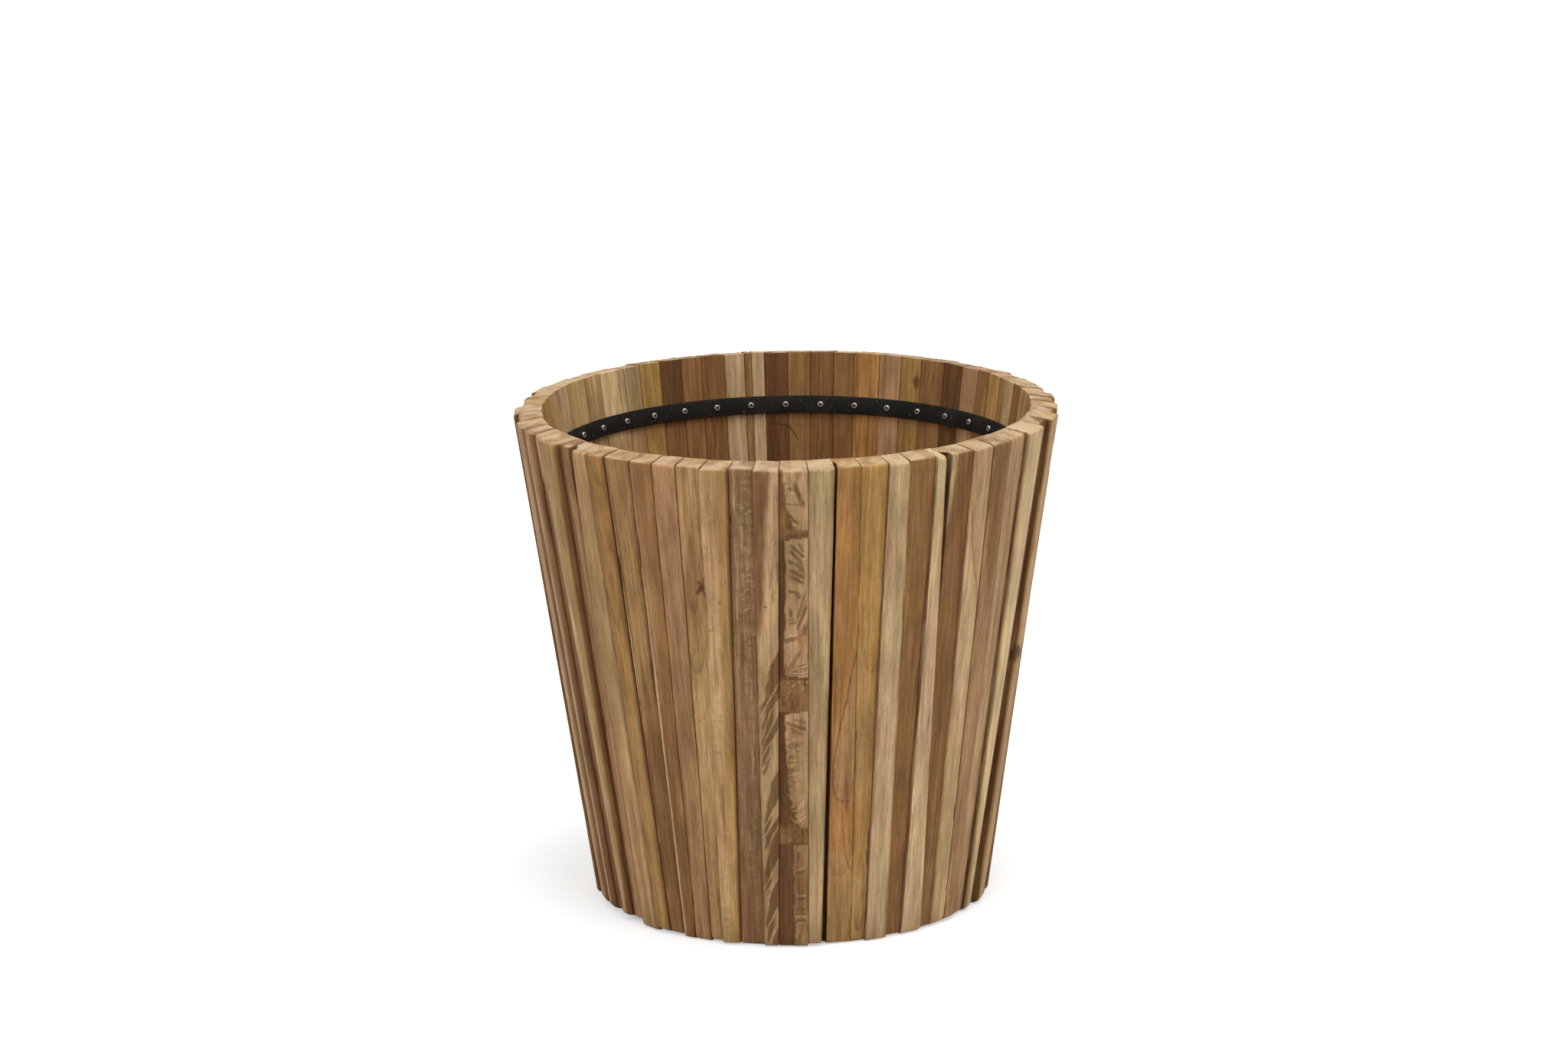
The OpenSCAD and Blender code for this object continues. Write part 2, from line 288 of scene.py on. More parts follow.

# Worn or planed-off long edges: stave, side, width at the foot and at the rim, and depth, in mm
# work_stave colours these edges brown and umber as painted shade in the grooves between the staves.
BEVELS = [
    (1, "far", 1.5, 4, 1.5), (4, "far", 3, 2.5, 1.2), (6, "far", 2, 3, 1.5), (8, "near", 3, 2, 1),
    (9, "far", 3, 3, 1), (10, "far", 4, 4, 2), (11, "near", 2, 3, 1.5), (11, "far", 3, 5, 2.5),
    (13, "near", 3, 4, 2), (15, "far", 3, 2, 1.5), (17, "near", 3, 3, 1.5), (20, "near", 5, 3, 1.8),
    (22, "far", 2, 3, 1.5), (25, "near", 2, 4, 1.5), (28, "far", 3, 5, 2), (30, "near", 3, 2, 1.2),
    (35, "near", 2, 3, 1), (39, "far", 4, 3, 2), (41, "near", 3, 6, 2), (44, "far", 3, 4, 1.5),
    (46, "far", 3, 3, 1.5), (48, "near", 5, 4, 2.5), (50, "near", 4, 5, 2.5), (50, "far", 6, 4, 3),
    (51, "near", 4, 5, 2), (51, "far", 5, 6, 2.5), (53, "near", 4, 7, 2.5), (53, "far", 4, 8, 3.5),
    (54, "near", 3, 3, 1.5), (55, "near", 4, 4, 2), (55, "far", 5, 4, 1.8), (56, "far", 4, 5, 2.2),
    (57, "near", 0.5, 4, 2), (57, "far", 4, 4, 1.2), (58, "near", 3, 5, 1.6), (61, "far", 2.5, 3.5, 1.6),
]


def right_across(tone, much, foot=0, rim=1):
    """A band over a stave's whole width, between two heights."""
    return tone, much, [(foot, 0.0, 1.0), (rim, 0.0, 1.0)]


# Bands of another tone on a stave, both inside and out: at each height, as a share of
# the stave's length from the foot, the band's near and far edge as shares of its width
BANDS = {
    1: [right_across("rose", 0.2)],
    2: [("rose", 0.7, [(0.304, 0.5, 1.0), (0.312, 0.3, 1.0), (0.34, 0.14, 1.0), (0.39, 0.13, 1.0),
                       (0.43, 0.24, 1.0), (0.52, 0.6, 1.0), (0.6, 0.9, 1.0)]),
        right_across("tan", 0.6, rim=0.2)],
    3: [("straw", 0.6, [(0.28, 0.3, 0.3), (0.36, 0.12, 0.7), (0.52, 0.08, 0.5), (0.64, 0.2, 0.3)]),
        right_across("straw", 0.5, rim=0.15)],
    5: [right_across("brown", 0.45, rim=0.35)],
    6: [right_across("pale", 0.6)],
    7: [("cream", 0.95, [(0.84, 0.0, 0.02), (1, 0.0, 0.28)]),
        right_across("straw", 0.35, rim=0.14)],
    8: [right_across("cream", 0.6, foot=0.5),
        ("pale", 0.55, [(0, 0.0, 1.0), (0.65, 0.0, 0.97), (0.717, 0.0, 0.83), (0.736, 0.0, 0.65),
                        (0.777, 0.0, 0.44), (0.829, 0.0, 0.23), (0.896, 0.0, 0.04)])],
    9: [right_across("straw", 0.4, rim=0.14),
        ("brown", 0.9, [(0.68, 0.6, 0.7), (0.8, 0.1, 1.0), (1, 0.0, 1.0)])],
    10: [right_across("cream", 0.3),
         ("russet", 0.15, [(0, 0.0, 1.0), (0.2, 0.4, 1.0), (0.35, 0.9, 1.0)])],
    20: [right_across("cream", 0.6),
         ("honey", 0.5, [(0, 0.6, 1.0), (0.5, 0.7, 1.0), (1, 0.55, 1.0)])],
    21: [right_across("cream", 0.7, rim=0.86)],
    25: [right_across("brown", 0.6, foot=0.87)],
    34: [right_across("tan", 0.25)],
    35: [("brown", 0.35, [(0, 0.85, 1.0), (0.5, 0.8, 1.0), (1, 0.88, 1.0)])],
    38: [right_across("umber", 0.9, foot=0.87)],
    40: [right_across("cream", 0.45, foot=0.88)],
    41: [right_across("pale", 0.9, foot=0.86)],
    42: [("cream", 0.6, [(0.3, 0.4, 0.4), (0.7, 0.3, 0.7), (1, 0.35, 0.6)])],
    44: [right_across("cream", 0.6, foot=0.88)],
    45: [right_across("cream", 0.5, foot=0.86)],
    50: [("brown", 0.7, [(0, 0.7, 1.0), (1, 0.8, 1.0)])],
    51: [("rose", 0.8, [(0, 0.0, 0.6), (1, 0.0, 0.7)]),
         ("umber", 0.6, [(0, 0.6, 1.0), (0.6, 0.75, 1.0)])],
    52: [right_across("cream", 0.7, foot=0.9), right_across("umber", 0.5, rim=0.84)],
    53: [("rose", 0.6, [(0, 0.2, 1.0), (0.45, 0.2, 1.0)]),
         ("straw", 0.6, [(0.25, 0.1, 0.1), (0.45, 0.0, 0.8), (0.7, 0.1, 0.3)]),
         ("umber", 0.6, [(0, 0.0, 0.14), (0.5, 0.0, 0.2), (0.85, 0.0, 0.1)])],
    54: [("brown", 0.7, [(0, 0.0, 0.2), (0.5, 0.0, 0.7), (1, 0.0, 0.3)]),
         right_across("umber", 0.5, foot=0.9)],
    55: [("cream", 0.6, [(0, 0.75, 1.0), (0.5, 0.7, 1.0), (1, 0.85, 1.0)])],
    56: [right_across("russet", 0.45),
         ("straw", 0.3, [(0, 0.3, 1.0), (0.4, 0.4, 1.0), (0.6, 0.9, 1.0)])],
    57: [right_across("straw", 0.35, foot=0.45),
         ("brown", 0.75, [(0.1, 0.3, 0.3), (0.3, 0.1, 0.9), (0.5, 0.3, 0.7), (0.6, 0.5, 0.5)])],
    58: [("umber", 0.42, [(0, 0.0, 1.0), (0.2, 0.0, 1.0), (0.36, 0.45, 0.6)]),
         right_across("brown", 0.5, foot=0.3, rim=0.62),
         ("rose", 0.5, [(0.5, 0.0, 0.4), (1, 0.0, 0.5)])],
    59: [right_across("brown", 0.25, rim=0.6)],
    60: [("russet", 0.55, [(0.6, 0.4, 0.4), (0.74, 0.1, 1.0), (0.9, 0.5, 0.6)]),
         right_across("straw", 0.5, foot=0.2, rim=0.58)],
    61: [right_across("brown", 0.3, foot=0.82)],
    62: [right_across("brown", 0.4, rim=0.2)],
    63: [("umber", 0.6, [(0.6, 0.0, 0.02), (0.75, 0.0, 0.28), (0.88, 0.0, 0.45), (1, 0.0, 0.66)])],
}

# Fine lines on a stave, mostly figure, some painted light: the face they show on, tone, strength,
# width in mm, and places as shares of the stave's width and of the way down from the rim
LINES = {
    2: [("outer", "umber", 0.7, 1.5,
         [(1.0, 0.38), (0.9, 0.4), (0.77, 0.43), (0.6, 0.484), (0.385, 0.528), (0.24, 0.573), (0.13, 0.61),
          (0.115, 0.647), (0.17, 0.673), (0.29, 0.688), (0.53, 0.692), (0.8, 0.695)]),
        ("outer", "umber", 0.55, 1.5,
         [(0.5, 0.69), (0.55, 0.737), (0.65, 0.789), (0.75, 0.818), (0.9, 0.838), (1.0, 0.842)]),
        ("outer", "amber", 0.9, 3.0, [(0.14, 0.34), (0.15, 0.36)]),
        ("outer", "russet", 0.8, 3.4, [(0.15, 0.41), (0.14, 0.44)]),
        ("outer", "brown", 0.4, 2.2, [(0.62, 0.545), (0.64, 0.55)])],
    3: [("outer", "russet", 0.55, 1.6,
         [(0.33, 0.335), (0.3, 0.45), (0.36, 0.52), (0.46, 0.573), (0.63, 0.647), (0.92, 0.69)]),
        ("outer", "russet", 0.5, 1.6, [(0.72, 0.39), (0.72, 0.5), (0.86, 0.573), (1.0, 0.6)]),
        ("outer", "russet", 0.6, 2.4, [(0.95, 0.36), (0.92, 0.44), (0.96, 0.55)]),
        ("outer", "brown", 0.35, 1.5, [(0.3, 0.9), (0.55, 0.8), (0.8, 0.74), (1.0, 0.73)])],
    8: [("outer", "russet", 0.7, 1.6,
         [(0.04, 0.1), (0.23, 0.167), (0.44, 0.219), (0.65, 0.26), (0.83, 0.279), (0.95, 0.33)])],
    13: [("outer", "russet", 0.8, 14, [(0.05, 0.48), (0.6, 0.49)]),
         ("outer", "dirt", 1.0, 9, [(0.1, 0.468), (0.5, 0.482)]),
         ("outer", "russet", 0.6, 5, [(0.2, 0.5), (0.3, 0.54)])],
    # Staves 31 and 32 share one thin dark curved line on their inner faces, a little below the upper hoop.
    31: [("inner", "dirt", 0.9, 1.6, [(1.0, 0.155), (0.9, 0.161), (0.69, 0.173), (0.58, 0.183)])],
    32: [("inner", "dirt", 0.9, 1.6, [(0.9, 0.148), (0.53, 0.149), (0.14, 0.153), (0.0, 0.155)])],
    # On staves 51 to 58 the edge lines are painted light as well as torn grain: the pale ones on the near
    # edges are painted highlight where those edges face the key lamp, and the dark ones at the edges are
    # painted shade in the grooves and in the open gap beside stave 55.
    51: [("outer", "pale", 0.6, 2.4, [(0.3, 0.02), (0.36, 0.35), (0.3, 0.6), (0.4, 0.99)]),
         ("outer", "umber", 0.6, 2.0, [(0.62, 0.1), (0.68, 0.4), (0.62, 0.7), (0.7, 0.99)])],
    53: [("outer", "umber", 0.7, 2.6, [(0.96, 0.02), (0.9, 0.3), (0.97, 0.6), (0.95, 0.99)]),
         ("outer", "pale", 0.5, 2.2, [(0.3, 0.1), (0.36, 0.5), (0.5, 0.98)])],
    55: [("outer", "umber", 0.8, 2.6, [(0.02, 0.1), (0.1, 0.25), (0.04, 0.4), (0.1, 0.55), (0.02, 0.99)])],
    57: [("outer", "pale", 0.8, 2.4, [(0.04, 0.01), (0.06, 0.4), (0.05, 0.8)]),
         ("outer", "umber", 0.8, 1.6, [(0.13, 0.03), (0.16, 0.3), (0.12, 0.6), (0.2, 0.9)]),
         ("outer", "umber", 0.8, 2.0, [(0.97, 0.01), (0.94, 0.4), (0.88, 0.7), (0.95, 0.99)])],
    58: [("outer", "pale", 0.8, 2.4, [(0.05, 0.01), (0.08, 0.3)]),
         ("outer", "pale", 1.0, 3.2, [(0.08, 0.26), (0.1, 0.5), (0.12, 0.99)]),
         ("outer", "brown", 0.5, 1.4, [(0.2, 0.02), (0.22, 0.5), (0.28, 0.95)])],
    60: [("outer", "russet", 0.8, 11, [(0.78, 0.247), (1.0, 0.242)]),
         ("outer", "umber", 0.95, 4, [(0.62, 0.258), (0.84, 0.246), (1.0, 0.228)]),
         ("outer", "umber", 0.9, 3, [(0.7, 0.236), (0.84, 0.245), (0.98, 0.262)]),
         ("outer", "dirt", 0.95, 5, [(0.78, 0.25), (0.93, 0.244), (1.0, 0.247)]),
         ("outer", "russet", 0.5, 1.4, [(0.76, 0.27), (0.86, 0.252), (0.9, 0.23)])],
}

# Knots: their place as a share of the width and of the length, and their size in mm. A
# board without one has it far away.
KNOTS = {13: (0.12, 0.52, 6), 26: (0.2, 0.95, 5), 60: (1.0, 0.755, 3.5), 44: (0.5, 0.4, 6),
         18: (0.3, 0.7, 5), 30: (0.7, 0.3, 5)}

NO_KNOT = (0.0, 9.0, 0.0)

# How much shorter than the rest a stave's foot is, in mm
SHORT_FEET = {49: 2, 50: 3, 51: 4, 52: 4, 53: 4.5, 54: 4, 56: 1.5, 57: 2.5, 60: 1.5, 9: 2, 12: 2.5}

# Where the middle of the trunk lies for each way of sawing: across, and inward from the
# outer face, in mm
TRUNK = {"flat": (0, 45), "rift": (70, 80), "edge": (190, 25)}


class Wall:
    """The ring of staves: radii, joints, and where a point of a stave lies."""

    def __init__(self, wall):
        self.size = wall
        self.rim_r, self.foot_r = wall.rim_d / 2, wall.foot_d / 2
        self.slope = (self.rim_r - self.foot_r) / wall.height
        self.lean = math.atan(self.slope)
        self.length = wall.height / math.cos(self.lean)
        self.out = Vector((math.cos(self.lean), 0, -math.sin(self.lean)))
        self.up = Vector((math.sin(self.lean), 0, math.cos(self.lean)))
        rims = np.cumsum([0] + [s[0] for s in STAVES])
        feet = np.cumsum([0] + [s[1] for s in STAVES])
        self.rim_angle = FIRST_JOINT_RIM + 2 * math.pi * rims / rims[-1]
        self.foot_angle = FIRST_JOINT_FOOT + 2 * math.pi * feet / feet[-1]
        self.joint = (self.rim_angle + self.foot_angle) / 2

    def inner_r(self, z):
        """The radius of the wall's inner face at a height."""
        return self.foot_r + self.slope * z - self.size.stave_t / math.cos(self.lean)

    def stave_angle(self, i):
        """How far round from the front the middle of stave i lies."""
        return (self.joint[i] + self.joint[i + 1]) / 2

    def joint_line(self, j, turn, x, z):
        """Where joint j cuts across at x and z, in the frame of the stave at that turn."""
        half = math.sin((self.rim_angle[j] - self.foot_angle[j]) / 2)
        shift = -self.foot_r * half + (self.rim_r + self.foot_r) * half * z / self.size.height
        by = self.joint[j] - turn
        return (shift + math.sin(by) * x) / math.cos(by)

    def side_view(self, d, s):
        """x out from the axis and z, for a depth from the inner face and a way up it."""
        s = s + d * self.slope * (1 - s / self.length)
        return self.inner_r(0) + s * self.up.x + d * self.out.x, s * self.up.z + d * self.out.z

    def turned(self, turn, x, y, z):
        """Points of a piece drawn towards +X, turned to an angle from the front."""
        c, s = math.sin(turn), -math.cos(turn)
        return np.stack([x * c - y * s, x * s + y * c, z], -1)


# -------------------------------------------------------------------- sawn pieces


def step(x, low, high):
    """Smooth step of x from 0 at low to 1 at high."""
    t = np.clip((x - low) / (high - low), 0, 1)
    return t * t * (3 - 2 * t)


def wander(rng, x, spacing):
    """Smooth chance values from -1 to 1 along x, about one for each spacing."""
    at = np.asarray(x) / spacing
    first = math.floor(at.min()) - 1
    values = rng.uniform(-1, 1, math.ceil(at.max()) - first + 3)
    cell = np.floor(at).astype(int) - first
    part = at - np.floor(at)
    part = part * part * (3 - 2 * part)
    return values[cell] * (1 - part) + values[cell + 1] * part


def along_edges(near, inner, step_size, longest):
    """Places across a face as (fixed, share of its width), close together at both edges."""
    n = max(2, round((longest - 2 * inner) / step_size))
    middle = np.linspace(0, 1, n + 1)[1:-1]
    fixed = np.concatenate([near, inner * (1 - 2 * middle), -near[::-1]])
    share = np.concatenate([near * 0, middle, near * 0 + 1])
    return fixed, share


class Sawn:
    """A sawn piece as a net over its six faces: i across, j from its inner face to its
    outer one, k along it."""

    def __init__(self, width, depth, length, rows, edge, back_edge, across_step, layers=()):
        near = edge * EDGE_STEPS
        if near[-1] * 2.4 > np.min(width):
            near = near * (np.min(width) / near[-1] / 2.4)
        fixed, share = along_edges(near, near[-1], across_step, float(np.mean(width)))
        back = back_edge * np.array([0, 0.5, 1.0])
        front = edge * EDGE_STEPS[::-1]
        between = np.linspace(back[-1] + 0.004, depth - front[0] - 0.003, 3)
        j = np.sort(np.concatenate([back, between, layers, depth - front]))
        self.width = np.broadcast_to(width, rows.shape)
        self.depth, self.length = depth, length
        self.shape = (len(fixed), len(j), len(rows))
        self.across = fixed[:, None] + share[:, None] * self.width
        self.rows = rows
        i_, j_, k_ = np.indices(self.shape)
        last = [n - 1 for n in self.shape]
        skin = (i_ == 0) | (i_ == last[0]) | (j_ == 0) | (j_ == last[1])
        skin = skin | (k_ == 0) | (k_ == last[2])
        self.ids = np.full(self.shape, -1)
        self.ids[skin] = np.arange(skin.sum())
        self.i, self.j, self.k = i_[skin], j_[skin], k_[skin]
        self.a = self.across[self.i, self.k]
        self.d = j[self.j]
        self.s = rows[self.k]
        self.round_edges(edge, back_edge)

    def round_edges(self, edge, back_edge):
        """Rounds every edge: the outer ones by edge, the others by back_edge."""
        width = self.width[self.k]
        reach = (
            (self.a, width, edge, edge), (self.d, self.depth, back_edge, edge),
            (self.s, self.length, back_edge, back_edge),
        )
        over, base, radii = [], [], []
        for place, full, low, high in reach:
            low = np.minimum(low, full / 3)
            high = np.minimum(high, full / 3)
            e = np.clip((place - full + high) / high, 0, 1) - np.clip((low - place) / low, 0, 1)
            over.append(e)
            base.append(np.clip(place, low, full - high))
            radii.append(np.where(e > 0, high, low))
        long = np.maximum(np.sqrt(sum(e * e for e in over)), 1)
        self.a, self.d, self.s = (b + e / long * r for b, e, r in zip(base, over, radii))

    def quads(self):
        """The net's faces, all turned the same way."""
        n = [m - 1 for m in self.shape]
        sheets = [
            self.ids[0], self.ids[n[0]].T, self.ids[:, 0].T, self.ids[:, n[1]],
            self.ids[:, :, 0], self.ids[:, :, n[2]].T,
        ]
        rows = [
            np.stack([q[:-1, :-1], q[1:, :-1], q[1:, 1:], q[:-1, 1:]], -1).reshape(-1, 4)
            for q in sheets
        ]
        return np.concatenate(rows)


def add_piece(name, mesh, replaced, material):
    """A mesh as a piece that rides on the planter and stands for CAD nodes."""
    mesh.materials.append(material)
    piece = bpy.data.objects.new(name, mesh)
    bpy.context.scene.collection.objects.link(piece)
    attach(piece, BODY)
    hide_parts(*replaced)
    return piece


def net_piece(name, points, quads, replaced, material):
    """A smooth piece from a net's points and faces, its faces turned outward."""
    a, b, c, d = (points[quads[:, n]] for n in range(4))
    if np.einsum("ij,ij->i", a + b + c + d, np.cross(c - a, d - b)).sum() < 0:
        quads = quads[:, ::-1]
    mesh = bpy.data.meshes.new(name)
    mesh.from_pydata(points.tolist(), [], quads.tolist())
    mesh.shade_smooth()
    return add_piece(name, mesh, replaced, material)


def keep(piece, name, kind, values):
    """Stores one value for each of a piece's points, for its material to read."""
    layer = piece.data.attributes.new(name, kind, "POINT")
    field = {"FLOAT_VECTOR": "vector", "FLOAT_COLOR": "color"}[kind]
    layer.data.foreach_set(field, np.asarray(values, np.float32).ravel())


def place_in_trunk(rng, sawn_as, across, inward, along):
    """Where points of a board lay in the trunk it was sawn from."""
    out, deep = (v * MM * rng.uniform(0.8, 1.25) for v in TRUNK[sawn_as])
    out *= rng.choice([-1, 1])
    lean_across, lean_in = rng.uniform(-0.012, 0.012), rng.uniform(0.008, 0.035)
    x = across - out + lean_across * along
    y = inward + deep - lean_in * along
    return np.stack([x, y, along + rng.uniform(0, 40)], -1)


class Face:
    """One face of a stave while it is worked: the depth cut, the brown or pale wood laid
    bare, and layers of tone that go under and over them."""

    def __init__(self, piece, rng):
        self.rng = rng
        self.across = piece.across
        self.width = piece.width[None, :]
        self.up = np.broadcast_to(piece.rows[None, :], self.across.shape)
        self.length = piece.length
        self.cut = np.zeros(self.across.shape)
        self.brown = np.zeros(self.across.shape)
        self.light = np.zeros(self.across.shape)
        self.lines = []
        self.after = []

    def down(self):
        """The share of the way down from the rim."""
        return 1 - self.up / self.length

    def stroke(self, across, down, angle, long, wide, deep=0.0, brown=0.0, light=0.0):
        """One mark that starts at a share of the width and of the way down, and runs up
        the stave at an angle in degrees, positive to the far side. Sizes in mm."""
        lean = math.radians(angle)
        at = self.length * (1 - down)
        x = self.across - across * np.interp(at, self.up[0], self.width[0])
        y = self.up - at
        run = (x * math.sin(lean) + y * math.cos(lean)) / (long * MM)
        off = np.abs(x * math.cos(lean) - y * math.sin(lean)) / (wide * MM / 2)
        mark = step(off, 1.25, 0.6) * step(run, -0.06, 0.12) * step(run, 1.05, 0.75)
        self.cut = np.maximum(self.cut, mark * deep * MM)
        self.brown = np.maximum(self.brown, mark * brown)
        self.light = np.maximum(self.light, mark * light)

    def spot(self, across, down, wide, long):
        """A soft spot at a place, its half sizes in mm, as strengths over the face."""
        x = (self.across - across * self.width) / (wide * MM)
        y = (self.up - self.length * (1 - down)) / (long * MM)
        return np.exp(-(x * x + y * y))

    def line(self, tone, much, wide, places):
        """A soft line of another tone, of a width in mm, through places on the face."""
        heights = [self.length * (1 - down) for _, down in places]
        points = [
            (across * np.interp(at, self.up[0], self.width[0]), at)
            for (across, _), at in zip(places, heights)
        ]
        off = np.full(self.up.shape, 1.0)
        for (x0, y0), (x1, y1) in zip(points, points[1:]):
            x, y = self.across - x0, self.up - y0
            long, high = x1 - x0, y1 - y0
            run = np.clip((x * long + y * high) / (long**2 + high**2), 0, 1)
            off = np.minimum(off, np.hypot(x - run * long, y - run * high))
        off = off + 0.0003 * wander(self.rng, self.up, 0.004)
        self.lines.append((tone, step(off, wide * MM * 0.9, wide * MM * 0.25) * much))


# Tool marks on the gouged stave: where each starts, as shares of the width and of the way
# down, its angle from straight up, its length and width in mm, and its strength, which is
# below 0 for a pale mark
GOUGES = [
    (0.85, 0.075, -20, 34, 3.6, 1), (0.2, 0.043, -6, 13, 1.2, 0.8), (0.38, 0.028, -78, 6, 1.2, 0.7),
    (0.51, 0.04, -70, 9, 1.7, 0.8), (0.72, 0.07, -80, 17, 1.3, 0.9), (0.54, 0.1, -38, 20, 1.5, 0.9),
    (0.48, 0.098, -36, 16, 1.1, 0.8), (0.57, 0.119, -38, 17, 1.3, 0.9), (0.66, 0.123, -38, 18, 2.0, -1),
    (0.56, 0.047, -60, 5, 2.6, -1), (0.5, 0.031, -75, 9, 3, -0.8), (0.55, 0.067, -72, 15, 1.8, -0.8),
    (0.84, 0.165, -28, 13, 1.8, 0.9), (0.865, 0.177, -42, 22, 2.8, 1), (0.81, 0.189, -40, 22, 2.6, 1),
    (0.49, 0.191, -40, 8, 2.2, 0.9), (0.865, 0.206, -40, 16, 2.4, 1), (0.89, 0.2196, -56, 20, 3.4, 1),
    (0.86, 0.23, -58, 18, 2.4, 1), (0.87, 0.198, -36, 12, 1.7, 0.8), (0.9, 0.212, -50, 11, 1.8, 0.8),
    (0.88, 0.1715, -42, 18, 1.4, -0.8), (0.84, 0.183, -40, 18, 1.4, -0.8), (0.88, 0.2, -42, 16, 1.3, -0.8),
    (0.65, 0.25, -72, 11, 2.4, 0.8), (0.72, 0.262, -20, 10, 3.4, 0.6), (0.42, 0.298, -8, 9.5, 2, 1),
    (0.6, 0.3116, -90, 9, 1.3, 0.9), (0.62, 0.304, 15, 36, 1.7, 0.8), (0.62, 0.326, 19, 34, 1.9, 0.9),
    (0.72, 0.3, 17, 26, 1.5, 0.7), (0.68, 0.302, 17, 30, 1.4, -1), (0.72, 0.324, 22, 22, 3, -1),
    (0.85, 0.337, 8, 14, 3, 0.7), (0.19, 0.348, 76, 16, 3.4, 0.8), (0.19, 0.3385, 80, 14, 1.5, -1),
    (0.28, 0.4127, 26, 30, 1.7, 0.9), (0.4, 0.409, 25, 27, 1.4, 0.9), (0.33, 0.411, 26, 28, 1.6, -1),
    (0.42, 0.404, 76, 18, 1.2, 0.8), (0.45, 0.4096, 80, 19, 1.2, 0.9), (0.42, 0.4135, 84, 16, 1.2, 0.9),
    (0.35, 0.4187, 86, 20, 1.2, 0.7), (0.45, 0.4065, 77, 19, 1.3, -1), (0.42, 0.4115, 82, 18, 1.1, -1),
    (0.38, 0.4165, 85, 18, 1.3, -1), (0.95, 0.533, -68, 26, 3.2, 0.9), (0.7, 0.54, -60, 14, 2.6, 0.8),
    (0.95, 0.519, -72, 16, 1.8, 0.7), (0.9, 0.526, -70, 20, 1.2, -0.8), (0.54, 0.888, 88, 13, 1.2, -0.9),
    (0.54, 0.893, 92, 13, 1.5, 0.6), (0.55, 0.917, 90, 12, 1.6, 0.8), (0.55, 0.927, 86, 13, 1.3, 0.7),
    (0.55, 0.931, 90, 12, 1.6, -0.8), (0.57, 0.942, 90, 12, 2.2, 0.6), (0.56, 0.948, 84, 9, 1.4, -0.8),
    (0.55, 0.84, 72, 12, 2, 0.6), (0.57, 0.833, 66, 11, 1.4, -0.7), (0.62, 0.815, 12, 14, 2, 0.5),
    (0.6, 0.98, 6, 12, 1.6, -0.6), (0.8, 0.995, 4, 14, 1.6, -0.5), (0.7, 0.99, 0, 12, 2, 0.5),
]


